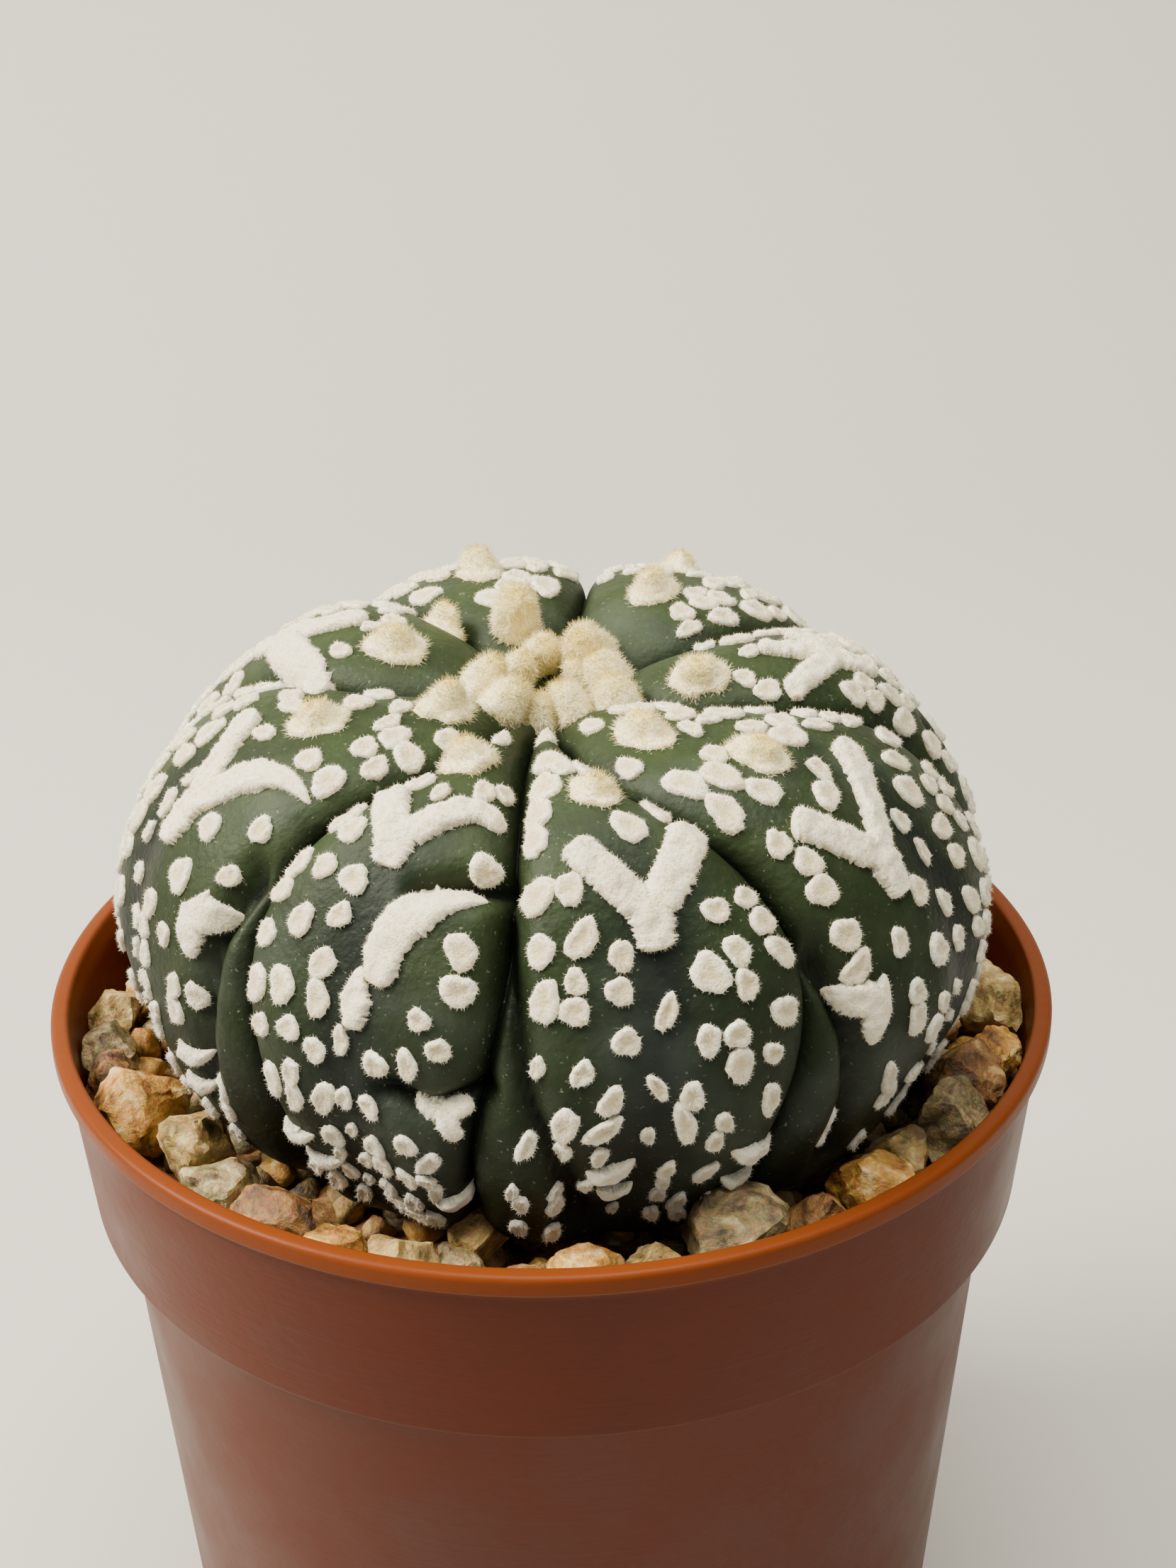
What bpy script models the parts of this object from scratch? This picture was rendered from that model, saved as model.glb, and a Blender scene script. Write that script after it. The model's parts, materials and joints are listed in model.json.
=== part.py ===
"""Star cactus in a round plastic nursery pot, with soil and a dressing of loose quartz grit.

Blender 4.5, metres, +Z up. The origin is the centre of the pot's foot, and the front is -Y.
"""

import math
import random

import bmesh
import bpy
from mathutils import Matrix, Vector, noise
from mathutils.bvhtree import BVHTree

MM = 0.001

# Driving dimensions of the pot
POT_HEIGHT = 0.080
RIM_RADIUS = 0.045
LIP_WIDTH = 0.0016
WALL = 0.0009
BAND_HEIGHT = 0.0176
BAND_TOP_RADIUS = 0.0441
BAND_FOOT_RADIUS = 0.0429
BODY_TOP_RADIUS = 0.0405
FOOT_RADIUS = 0.0363
FOOT_RING_WIDTH = 0.0030
UNDERSIDE_RISE = 0.0022
FLOOR_TOP = 0.0034
FLOOR_CORNER = 0.0012
DRAIN_HOLES = 6
DRAIN_HOLE_RADIUS = 0.0035
DRAIN_CIRCLE_RADIUS = 0.0230
MIDDLE_HOLE_RADIUS = 0.0045
FOOT_NOTCHES = 4
FOOT_NOTCH_WIDTH = 0.0060
FOOT_NOTCH_HEIGHT = 0.0012
STEP_SLOPE = 0.0012
LIP_ROUND = 0.0004
LIP_DEPTH = 0.0024
FOOT_CHAMFER = 0.0008
DRAIN_SEGMENTS = 24
DRAIN_CUTTER_HEIGHT = 0.010

# Driving dimensions of the filling
GAP = 0.0003
SOIL_TOP = 0.0660
ABOVE_STEP = 0.0022
BELOW_STEP = 0.0014
GRIT_BED_TOP = 0.0736
GRIT_BED_STEPS = 72
GRIT_BED_RINGS = 7
GRIT_BED_INNER_RADIUS = 0.018
GRIT_SLOPE = 0.0020
GRIT_BUMP = 0.0008
GRIT_BUMPS_PER_METRE = 420.0
SMALLEST_STONE = 0.0050
LARGEST_STONE = 0.0082

# Driving dimensions of the stones. Shares are of a stone's width.
STONE_FLATS = 7
STONE_FLAT_REACH = (0.80, 0.94)
STONE_DEPTH_SHARES = (0.40, 0.47)
STONE_WIDTH_SHARES = (0.47, 0.52)
STONE_HEIGHT_SHARES = (0.38, 0.46)
STONE_TILT = 0.25
RING_INSET = 0.003
RING_SHARES = (1.0, 0.86, 0.74, 0.64)
RING_START = math.radians(-184)
FRONT_WIDTHS_MM = (
    5.6, 5.4, 5.0, 8.2, 7.4, 6.4, 6.6, 5.2, 5.8, 4.2, 4.6, 5.8, 5.0, 8.2, 6.0, 6.8, 5.6, 7.0
)
MOST_STONES = 56
INNER_TRIES = 90
INNER_INSET = 0.0052
INNER_SHARES = (1.0, 0.85, 0.72)
INNER_WIDTH_SHARES = (0.66, 0.86)
INNER_LAPS = 2
INNER_LIFT = 0.0008
SIDEWAYS_STEP = math.radians(0.5)
SIDEWAYS_STEPS = 10
INWARD_STEP = 0.00025
INWARD_STEPS = 16
INNER_START = math.radians(-100)

# Driving dimensions of the plant
PLANT_X = 0.0005
PLANT_Y = -0.0028
RIB_COUNT = 8
GROOVE_DEPTH = 0.0021
GROOVE_SHOULDER = 0.0024
LOBE_DEPTH = 0.0007
FRONT_DIP = 0.0022
COLUMNS_PER_RIB = 10
BODY_ROWS = 34
OUTLINE_STEP = 0.004

SCREW_STEPS = 64
SOIL_STEPS = 48
MERGE = 0.00001
SEED = 7

# Half outline of the plant along a rib's crest: radius, and height above the pot's rim, in
# millimetres. It runs from the sunken crown over the shoulder to the neck and the taproot.
CREST_OUTLINE_MM = (
    (0.0, 27.4),
    (3.0, 28.6),
    (6.0, 31.0),
    (9.0, 32.6),
    (13.0, 33.4),
    (18.0, 33.1),
    (23.4, 31.4),
    (28.6, 28.2),
    (33.0, 23.8),
    (36.4, 18.6),
    (37.9, 12.9),
    (37.4, 7.6),
    (36.0, 3.4),
    (34.3, -0.2),
    (31.8, -3.2),
    (28.4, -5.9),
    (24.4, -8.6),
    (19.6, -11.8),
    (14.5, -15.5),
    (11.5, -21.0),
    (8.5, -29.0),
    (4.5, -37.0),
    (0.0, -40.0),
)

# Bearing of each groove in degrees, from +X anticlockwise, at these stations along the outline.
# The grooves of a grown plant wander, so no two ribs are quite alike.
BEARING_STATIONS = (0.155, 0.247, 0.309, 0.365, 0.42, 0.47, 0.59)
GROOVE_BEARINGS = (
    (-100.0, -97.5, -96.5, -96.5, -98.5, -101.5, -102.0),
    (-88.0, -76.5, -64.0, -57.0, -56.0, -61.0, -67.0),
    (-37.0, -22.0, -10.0, -3.0, -3.0, -4.0, -4.0),
    (12.0, 20.0, 29.0, 34.0, 36.0, 37.0, 38.0),
    (77.0, 80.0, 82.0, 83.0, 83.0, 83.0, 82.0),
    (138.0, 134.0, 131.0, 128.0, 127.0, 126.0, 124.0),
    (205.0, 183.0, 170.0, 170.0, 172.0, 172.0, 172.0),
    (248.0, 240.0, 229.0, 224.0, 226.0, 231.0, 232.0),
)


# Depth of the grooves and of the crown's lean to the front, as shares of the greatest, at
# stations along the outline.
GROOVE_STATIONS = (0.0, 0.09, 0.18, 0.68, 0.77, 0.86)
GROOVE_SHARES = (0.0, 0.5, 1.0, 1.0, 0.4, 0.0)
DIP_STATIONS = (0.0, 0.12, 0.20, 0.32)
DIP_SHARES = (0.0, 1.0, 1.0, 0.0)


def new_material(name, colour, roughness, metallic=0.0):
    """Principled material with one colour."""
    material = bpy.data.materials.new(name)
    material.use_nodes = True
    shader = material.node_tree.nodes["Principled BSDF"]
    shader.inputs["Base Color"].default_value = (*colour, 1.0)
    shader.inputs["Roughness"].default_value = roughness
    shader.inputs["Metallic"].default_value = metallic
    return material


def new_object(name, mesh, collection, material=None):
    """Object for a mesh, linked to a collection."""
    thing = bpy.data.objects.new(name, mesh)
    collection.objects.link(thing)
    if material:
        mesh.materials.append(material)
    return thing


def turned(name, profile, collection, material=None, steps=SCREW_STEPS):
    """Solid of revolution about Z. The profile starts and ends on the axis."""
    mesh = bpy.data.meshes.new(name)
    edges = [(i, i + 1) for i in range(len(profile) - 1)]
    mesh.from_pydata([(radius, 0.0, height) for radius, height in profile], edges, [])
    thing = new_object(name, mesh, collection, material)
    screw = thing.modifiers.new("Turn", "SCREW")
    screw.steps = steps
    screw.render_steps = steps
    screw.use_merge_vertices = True
    screw.merge_threshold = MERGE
    screw.use_smooth_shade = True
    return thing


def cut(target, cutter):
    """Takes one closed mesh out of another."""
    cutter.display_type = "WIRE"
    cutter.hide_render = True
    boolean = target.modifiers.new("Cut " + cutter.name, "BOOLEAN")
    boolean.operation = "DIFFERENCE"
    boolean.object = cutter


def cylinder_cutter(name, radius, height, place, collection):
    """Round cutter standing on its centre."""
    mesh = bpy.data.meshes.new(name)
    shape = bmesh.new()
    bmesh.ops.create_cone(
        shape, cap_ends=True, segments=DRAIN_SEGMENTS, radius1=radius, radius2=radius, depth=height
    )
    shape.to_mesh(mesh)
    shape.free()
    cutter = new_object(name, mesh, collection)
    cutter.location = place
    return cutter


def box_cutter(name, size, place, turn, collection):
    """Box cutter turned about Z."""
    mesh = bpy.data.meshes.new(name)
    shape = bmesh.new()
    bmesh.ops.create_cube(shape, size=1.0, matrix=Matrix.Diagonal((*size, 1.0)))
    shape.to_mesh(mesh)
    shape.free()
    cutter = new_object(name, mesh, collection)
    cutter.location = place
    cutter.rotation_euler.z = turn
    return cutter


def body_radius(height):
    """Outer radius of the pot's tapered body."""
    step_height = POT_HEIGHT - BAND_HEIGHT
    return FOOT_RADIUS + (BODY_TOP_RADIUS - FOOT_RADIUS) * height / step_height


def inner_radius(height):
    """Inner radius of the pot at a height above its floor."""
    step_height = POT_HEIGHT - BAND_HEIGHT
    if height < step_height:
        return body_radius(height) - WALL
    up = (height - step_height) / BAND_HEIGHT
    return BAND_FOOT_RADIUS + (BAND_TOP_RADIUS - BAND_FOOT_RADIUS) * up - WALL


def pot_profile():
    """Pot wall from the middle of its floor, up the inside, over the lip and down the outside."""
    step = POT_HEIGHT - BAND_HEIGHT
    lip_inner = RIM_RADIUS - LIP_WIDTH
    inside = [
        (0.0, FLOOR_TOP),
        (inner_radius(FLOOR_TOP) - FLOOR_CORNER, FLOOR_TOP),
        (inner_radius(FLOOR_TOP), FLOOR_TOP + FLOOR_CORNER),
        (inner_radius(step - STEP_SLOPE), step - STEP_SLOPE),
        (inner_radius(step) - 0.0006, step + 0.0002),
        (inner_radius(step + 0.0010), step + STEP_SLOPE),
        (inner_radius(POT_HEIGHT - 0.0030), POT_HEIGHT - 0.0030),
    ]
    lip = [
        (lip_inner, POT_HEIGHT - 0.0009),
        (lip_inner + 0.0001, POT_HEIGHT - 0.0003),
        (lip_inner + LIP_ROUND, POT_HEIGHT),
        (RIM_RADIUS - LIP_ROUND, POT_HEIGHT),
        (RIM_RADIUS - 0.0001, POT_HEIGHT - 0.0003),
        (RIM_RADIUS, POT_HEIGHT - 0.0008),
        (RIM_RADIUS, POT_HEIGHT - 0.0014),
        (RIM_RADIUS - 0.0003, POT_HEIGHT - 0.0019),
        (BAND_TOP_RADIUS, POT_HEIGHT - LIP_DEPTH),
    ]
    outside = [
        (BAND_FOOT_RADIUS, step + 0.0006),
        (BAND_FOOT_RADIUS - 0.0004, step),
        (BODY_TOP_RADIUS + 0.0002, step - 0.0002),
        (BODY_TOP_RADIUS, step - 0.0008),
        (body_radius(FOOT_CHAMFER), FOOT_CHAMFER),
        (FOOT_RADIUS - 0.0006, 0.0),
        (FOOT_RADIUS - FOOT_RING_WIDTH, 0.0),
        (FOOT_RADIUS - FOOT_RING_WIDTH - 0.0003, UNDERSIDE_RISE),
        (0.0, UNDERSIDE_RISE),
    ]
    return inside + lip + outside


def make_pot(collection, cutters):
    """Moulded pot: turned wall, drainage holes through the floor, notches through the foot ring."""
    plastic = new_material("pot_plastic", (0.30, 0.085, 0.030), 0.42)
    pot = turned("pot", pot_profile(), collection, plastic)
    middle = (UNDERSIDE_RISE + FLOOR_TOP) / 2
    depth = DRAIN_CUTTER_HEIGHT
    cut(pot, cylinder_cutter("drain_middle", MIDDLE_HOLE_RADIUS, depth, (0, 0, middle), cutters))
    for i in range(DRAIN_HOLES):
        angle = math.tau * i / DRAIN_HOLES
        place = (DRAIN_CIRCLE_RADIUS * math.cos(angle), DRAIN_CIRCLE_RADIUS * math.sin(angle), middle)
        cut(pot, cylinder_cutter(f"drain_{i + 1}", DRAIN_HOLE_RADIUS, depth, place, cutters))
    for i in range(FOOT_NOTCHES):
        angle = math.tau * (i + 0.5) / FOOT_NOTCHES
        reach = FOOT_RADIUS - FOOT_RING_WIDTH / 2
        size = (FOOT_RING_WIDTH * 3, FOOT_NOTCH_WIDTH, FOOT_NOTCH_HEIGHT * 2)
        place = (reach * math.cos(angle), reach * math.sin(angle), 0.0)
        cut(pot, box_cutter(f"notch_{i + 1}", size, place, angle, cutters))
    return pot


def along(points, t):
    """Point at t from 0 to 1 on a smooth curve through evenly spaced points of any dimension."""
    last = len(points) - 1
    at = min(max(t, 0.0), 1.0) * last
    i = min(int(at), last - 1)
    u = at - i
    before, start, end, after = (points[min(max(i + k, 0), last)] for k in (-1, 0, 1, 2))
    return tuple(
        0.5
        * (
            2 * b
            + (c - a) * u
            + (2 * a - 5 * b + 4 * c - d) * u * u
            + (3 * b - a - 3 * c + d) * u**3
        )
        for a, b, c, d in zip(before, start, end, after)
    )


def between(stations, values, t):
    """Value at t by straight steps between stations, held at both ends."""
    if t <= stations[0]:
        return values[0]
    for i in range(len(stations) - 1):
        if t <= stations[i + 1]:
            u = (t - stations[i]) / (stations[i + 1] - stations[i])
            u = u * u * (3 - 2 * u)
            return values[i] + (values[i + 1] - values[i]) * u
    return values[-1]


def crest_point(t, grow=0.0):
    """Radius and height on a rib's crest, t running from the crown (0) to the root tip (1)."""
    radius, height = along(CREST_OUTLINE_MM, t)
    ahead = along(CREST_OUTLINE_MM, t + OUTLINE_STEP)
    behind = along(CREST_OUTLINE_MM, t - OUTLINE_STEP)
    run, rise = ahead[0] - behind[0], ahead[1] - behind[1]
    size = math.hypot(run, rise)
    out = Vector((-rise / size, run / size))
    radius = max(radius * MM + out.x * grow, 0.0)
    return radius, POT_HEIGHT + height * MM + out.y * grow, out


def groove_bearing(rib, t):
    """Bearing of the groove that starts a rib, in radians."""
    turn, index = divmod(rib, RIB_COUNT)
    return math.radians(between(BEARING_STATIONS, GROOVE_BEARINGS[index], t) + 360.0 * turn)


def groove_strength(t):
    """Depth of the grooves along the plant, as a share of the greatest depth."""
    return between(GROOVE_STATIONS, GROOVE_SHARES, t)


def front_dip(t, bearing):
    """How far the crown leans down towards the front, where the ribs are lower round it."""
    share = between(DIP_STATIONS, DIP_SHARES, t)
    return FRONT_DIP * share * ((1 - math.sin(bearing)) / 2) ** 1.5


def plant_point(t, rib, across, grow=0.0):
    """Point of the plant's skin. Across runs from 0 at one groove of the rib to 1 at the next."""
    start, end = groove_bearing(rib, t), groove_bearing(rib + 1, t)
    bearing = start + (end - start) * across
    radius, height, out = crest_point(t, grow)
    away = min(across, 1 - across) * (end - start) * radius
    groove = math.exp(-away / GROOVE_SHOULDER) * GROOVE_DEPTH
    lobe = (2 * abs(across - 0.5)) ** 2 * LOBE_DEPTH
    depth = (groove + lobe) * groove_strength(t)
    radius = max(radius - out.x * depth, 0.0)
    height -= out.y * depth + front_dip(t, bearing)
    return Vector(
        (PLANT_X + radius * math.cos(bearing), PLANT_Y + radius * math.sin(bearing), height)
    )


def plant_mesh(name, grow=0.0):
    """Closed ribbed body, made from a sphere whose rings are drawn out to the plant's outline."""
    mesh = bpy.data.meshes.new(name)
    shape = bmesh.new()
    around = COLUMNS_PER_RIB * RIB_COUNT
    bmesh.ops.create_uvsphere(shape, u_segments=around, v_segments=BODY_ROWS, radius=1.0)
    for vertex in shape.verts:
        t = math.acos(max(-1.0, min(1.0, vertex.co.z))) / math.pi
        turn = math.atan2(vertex.co.y, vertex.co.x) / math.tau % 1.0 * RIB_COUNT
        rib = int(turn + MERGE)
        vertex.co = plant_point(t, rib, max(turn - rib, 0.0), grow)
    shape.to_mesh(mesh)
    shape.free()
    mesh.shade_smooth()
    return mesh


def make_plant(collection):
    """The whole plant: ribbed body, neck and taproot in one piece."""
    plant = new_object("cactus", plant_mesh("cactus"), collection)
    plant.data.materials.append(new_material("cactus_skin", (0.045, 0.085, 0.035), 0.55))
    return plant


def make_soil(collection, cutters):
    """Potting mix that fills the pot up to the grit, with the hole that the taproot grows in."""
    step = POT_HEIGHT - BAND_HEIGHT
    floor = FLOOR_TOP + GAP
    profile = [(0.0, SOIL_TOP)]
    for level in (SOIL_TOP, step + ABOVE_STEP, step - BELOW_STEP):
        profile.append((inner_radius(level) - GAP, level))
    profile.append((inner_radius(floor) - FLOOR_CORNER - GAP, floor))
    profile.append((0.0, floor))
    mix = new_material("potting_mix", (0.05, 0.032, 0.02), 0.95)
    soil = turned("potting_mix", profile, collection, mix, SOIL_STEPS)
    root_space = new_object("root_space", plant_mesh("root_space", GAP), cutters)
    cut(soil, root_space)
    return soil


def make_grit_bed(collection, cutters):
    """Lower layer of packed grit round the plant's neck, with a lumpy top."""
    mesh = bpy.data.meshes.new("grit_bed")
    shape = bmesh.new()
    steps = GRIT_BED_STEPS
    inner = GRIT_BED_INNER_RADIUS
    outer = inner_radius(GRIT_BED_TOP) - GAP
    low = SOIL_TOP + GAP
    outline = []
    for i in range(GRIT_BED_RINGS + 1):
        outline.append((inner + (outer - inner) * i / GRIT_BED_RINGS, GRIT_BED_TOP, True))
    outline.append((inner_radius(low) - GAP, low, False))
    outline.append((inner, low, False))
    loops = []
    for radius, height, top in outline:
        loop = []
        for k in range(steps):
            angle = math.tau * k / steps
            place = Vector((radius * math.cos(angle), radius * math.sin(angle), height))
            if top:
                bump = 1 - noise.noise(place * GRIT_BUMPS_PER_METRE)
                place.z = grit_level(angle) - GRIT_BUMP * bump
            loop.append(shape.verts.new(place))
        loops.append(loop)
    for i, loop in enumerate(loops):
        after = loops[(i + 1) % len(loops)]
        for k in range(steps):
            m = (k + 1) % steps
            shape.faces.new((loop[k], after[k], after[m], loop[m]))
    bmesh.ops.recalc_face_normals(shape, faces=shape.faces)
    shape.to_mesh(mesh)
    shape.free()
    packed_grit = new_material("grit_bed", (0.30, 0.20, 0.10), 0.85)
    bed = new_object("grit_bed", mesh, collection, packed_grit)
    neck_space = new_object("neck_space", plant_mesh("neck_space", GAP), cutters)
    cut(bed, neck_space)
    return bed


def stone_mesh(name, half, chance):
    """Broken, worn pebble: a ball with flats ground on it, stretched and turned at random."""
    mesh = bpy.data.meshes.new(name)
    shape = bmesh.new()
    bmesh.ops.create_icosphere(shape, subdivisions=2, radius=1.0)
    flats = []
    for _ in range(STONE_FLATS):
        normal = Vector([chance.gauss(0, 1) for _ in range(3)]).normalized()
        flats.append((normal, chance.uniform(*STONE_FLAT_REACH)))
    tilt = Matrix.Rotation(chance.uniform(-STONE_TILT, STONE_TILT), 3, "X")
    for vertex in shape.verts:
        for normal, reach in flats:
            over = vertex.co.dot(normal) - reach
            if over > 0:
                vertex.co -= normal * over
        vertex.co = tilt @ Vector([vertex.co[i] * half[i] for i in range(3)])
    bmesh.ops.recalc_face_normals(shape, faces=shape.faces)
    shape.to_mesh(mesh)
    shape.free()
    mesh.shade_smooth()
    return mesh


def grit_level(bearing):
    """Height of the packed grit that the loose stones lie on. It is heaped a little at the front."""
    return GRIT_BED_TOP - GRIT_SLOPE * (1 + math.sin(bearing)) / 2


def support(points, direction):
    """How far a set of points reaches in a direction."""
    return max(point.dot(direction) for point in points)


class Heap:
    """The stones laid so far, in the space between the plant and the pot's wall."""

    def __init__(self, plant_tree, collection, material):
        self.plant_tree = plant_tree
        self.collection = collection
        self.material = material
        self.placed = []

    def is_free(self, points, place):
        """True where a stone's points clear the wall, the plant and the other stones."""
        for point in points:
            if math.hypot(*(place + point).xy) > inner_radius(place.z + point.z) - GAP:
                return False
            near, normal, _, _ = self.plant_tree.find_nearest(place + point)
            if (place + point - near).dot(normal) < GAP:
                return False
        for other_place, other_points in self.placed:
            way = other_place - place
            distance = way.length
            if distance > 2 * LARGEST_STONE:
                continue
            way /= distance
            if support(points, way) + support(other_points, -way) > distance - GAP:
                return False
        return True

    def lay(self, width, bearing, chance, lift=0.0, inset=0.0):
        """Lays one stone as near the wall as it goes, less an inset. Gives its bearing, or None."""
        name = f"stone_{len(self.placed) + 1:02d}"
        half = (
            width * chance.uniform(*STONE_DEPTH_SHARES),
            width * chance.uniform(*STONE_WIDTH_SHARES),
            width * chance.uniform(*STONE_HEIGHT_SHARES),
        )
        mesh = stone_mesh(name, half, chance)
        for step in range(SIDEWAYS_STEPS):
            angle = bearing + SIDEWAYS_STEP * step
            turn = Matrix.Rotation(angle, 3, "Z")
            points = [turn @ vertex.co for vertex in mesh.vertices]
            height = grit_level(angle) + GAP + lift - min(point.z for point in points)
            for back in range(INWARD_STEPS):
                reach = inner_radius(height) - half[0] - inset - INWARD_STEP * back
                place = Vector((reach * math.cos(angle), reach * math.sin(angle), height))
                if self.is_free(points, place):
                    stone = new_object(name, mesh, self.collection, self.material)
                    stone.location = place
                    stone.rotation_euler.z = angle
                    self.placed.append((place, points))
                    return angle
        bpy.data.meshes.remove(mesh)
        return None

    def lay_or_shrink(self, width, bearing, chance):
        """Lays a stone of this width or, where it doesn't go in, the largest smaller one."""
        for share in RING_SHARES:
            angle = self.lay(width * share, bearing, chance)
            if angle is not None:
                return angle
        return bearing


def make_stones(collection, plant):
    """Loose stones: a close ring against the pot's wall, then more in the spaces inside it."""
    chance = random.Random(SEED)
    corners = [vertex.co for vertex in plant.data.vertices]
    tree = BVHTree.FromPolygons(corners, [face.vertices for face in plant.data.polygons])
    heap = Heap(tree, collection, new_material("quartz_grit", (0.46, 0.30, 0.13), 0.6))
    ring_radius = inner_radius(GRIT_BED_TOP) - RING_INSET
    bearing = RING_START
    widths = [MM * width for width in FRONT_WIDTHS_MM]
    while bearing < RING_START + math.tau - SMALLEST_STONE / ring_radius:
        width = widths.pop(0) if widths else chance.uniform(SMALLEST_STONE, LARGEST_STONE)
        half_turn = width / 2 / ring_radius
        bearing = heap.lay_or_shrink(width, bearing + half_turn, chance) + half_turn
    for i in range(INNER_TRIES):
        if len(heap.placed) == MOST_STONES:
            break
        angle = INNER_START + math.tau * i / INNER_TRIES * INNER_LAPS
        width = LARGEST_STONE * chance.uniform(*INNER_WIDTH_SHARES)
        for share in INNER_SHARES:
            laid = heap.lay(width * share, angle, chance, lift=INNER_LIFT, inset=INNER_INSET)
            if laid is not None:
                break
    return heap


def main():
    for thing in list(bpy.data.objects):
        bpy.data.objects.remove(thing, do_unlink=True)
    scene = bpy.context.scene.collection
    parts = bpy.data.collections.new("potted_star_cactus")
    cutters = bpy.data.collections.new("cutters")
    scene.children.link(parts)
    scene.children.link(cutters)
    make_pot(parts, cutters)
    make_soil(parts, cutters)
    make_grit_bed(parts, cutters)
    plant = make_plant(parts)
    make_stones(parts, plant)


main()
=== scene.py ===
"""Looks of a star cactus in a round plastic nursery pot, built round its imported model.

Metres, +Z up, the front is -Y. Sizes named _MM are in millimetres.
"""

import json
import math
import random

import bmesh
import bpy
import numpy as np
from mathutils import Matrix, Vector, noise
from mathutils.kdtree import KDTree

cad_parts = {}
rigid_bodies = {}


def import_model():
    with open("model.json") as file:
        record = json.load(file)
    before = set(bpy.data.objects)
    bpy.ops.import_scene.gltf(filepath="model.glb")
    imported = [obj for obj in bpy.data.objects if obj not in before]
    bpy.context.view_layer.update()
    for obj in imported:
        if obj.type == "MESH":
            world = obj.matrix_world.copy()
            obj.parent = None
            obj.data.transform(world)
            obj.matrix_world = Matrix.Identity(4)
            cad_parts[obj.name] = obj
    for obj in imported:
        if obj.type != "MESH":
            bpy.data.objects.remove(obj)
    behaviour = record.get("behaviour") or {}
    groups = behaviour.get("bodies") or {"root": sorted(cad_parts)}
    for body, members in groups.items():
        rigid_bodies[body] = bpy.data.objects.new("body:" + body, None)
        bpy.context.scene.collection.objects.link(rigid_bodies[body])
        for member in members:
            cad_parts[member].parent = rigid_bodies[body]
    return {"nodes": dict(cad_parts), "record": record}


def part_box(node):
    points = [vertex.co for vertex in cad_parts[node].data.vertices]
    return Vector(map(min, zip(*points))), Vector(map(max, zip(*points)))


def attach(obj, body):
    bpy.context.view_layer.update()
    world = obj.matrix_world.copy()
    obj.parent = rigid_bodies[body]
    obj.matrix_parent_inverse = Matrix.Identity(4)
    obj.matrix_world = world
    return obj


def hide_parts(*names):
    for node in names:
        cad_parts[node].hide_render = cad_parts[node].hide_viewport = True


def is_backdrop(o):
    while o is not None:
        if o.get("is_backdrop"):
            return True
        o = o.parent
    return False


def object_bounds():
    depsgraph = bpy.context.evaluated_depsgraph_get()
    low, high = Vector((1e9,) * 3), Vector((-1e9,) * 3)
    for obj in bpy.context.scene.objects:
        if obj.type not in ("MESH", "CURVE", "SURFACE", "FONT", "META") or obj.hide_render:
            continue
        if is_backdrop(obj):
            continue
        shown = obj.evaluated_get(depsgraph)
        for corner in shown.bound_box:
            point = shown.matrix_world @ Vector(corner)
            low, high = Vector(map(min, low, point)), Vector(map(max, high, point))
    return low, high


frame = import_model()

cad_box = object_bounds()
MM = 0.001

# ---------------------------------------------------------------------------------------------
# The stage: a pale matt floor that curves up into a pale wall, a large soft light high on the left
# like a window, a weak one on the right, a soft one overhead, and a camera that looks down.
# ---------------------------------------------------------------------------------------------
FLOOR_COLOUR = "#bbb8af"
SWEEP_START = 0.32
SWEEP_RADIUS = 0.25
SWEEP_HEIGHT = 1.2
SWEEP_STEPS = 12
STAGE_HALF_WIDTH = 1.6
ROOM_GLOW = 0.22
LIGHTS_AIM = (0, 0, 0.09)
CAMERA_PLACE = (0.0, -0.1832, 0.1913)
CAMERA_DOWN = math.radians(26.906)
CAMERA_TURN = math.radians(1.101)
CAMERA_ROLL = math.radians(-0.784)
CAMERA_LENS = 53.706


def linear(colour):
    """sRGB hex colour as linear red, green, blue and alpha."""
    parts = [int(colour[i : i + 2], 16) / 255 for i in (1, 3, 5)]
    return [p / 12.92 if p <= 0.04045 else ((p + 0.055) / 1.055) ** 2.4 for p in parts] + [1.0]


def new_material(name, **sockets):
    """Material with a Principled shader, and its node tree and shader."""
    material = bpy.data.materials.new(name)
    material.use_nodes = True
    shader = material.node_tree.nodes["Principled BSDF"]
    for socket, value in sockets.items():
        shader.inputs[socket.replace("_", " ")].default_value = value
    return material, material.node_tree, shader


def new_piece(name, vertices, faces, material, smooth=True):
    """Mesh object in the scene with one material."""
    mesh = bpy.data.meshes.new(name)
    mesh.from_pydata([tuple(v) for v in vertices], [], faces)
    if smooth:
        mesh.shade_smooth()
    if material:
        mesh.materials.append(material)
    piece = bpy.data.objects.new(name, mesh)
    bpy.context.scene.collection.objects.link(piece)
    return piece


backdrop_paper, tree, shader = new_material("backdrop_paper", Roughness=0.9)
shader.inputs["Base Color"].default_value = linear(FLOOR_COLOUR)
curve = [(-STAGE_HALF_WIDTH, 0.0), (SWEEP_START, 0.0)]
for i in range(1, SWEEP_STEPS + 1):
    angle = math.pi / 2 * i / SWEEP_STEPS
    curve.append(
        (SWEEP_START + SWEEP_RADIUS * math.sin(angle), SWEEP_RADIUS * (1 - math.cos(angle)))
    )
curve.append((SWEEP_START + SWEEP_RADIUS, SWEEP_HEIGHT))
corners = [(side * STAGE_HALF_WIDTH, y, z) for y, z in curve for side in (-1, 1)]
strips = [(2 * i, 2 * i + 1, 2 * i + 3, 2 * i + 2) for i in range(len(curve) - 1)]
backdrop = new_piece("backdrop", corners, strips, backdrop_paper)
backdrop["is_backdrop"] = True

world = bpy.data.worlds.new("room_light")
bpy.context.scene.world = world
world.use_nodes = True
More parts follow.
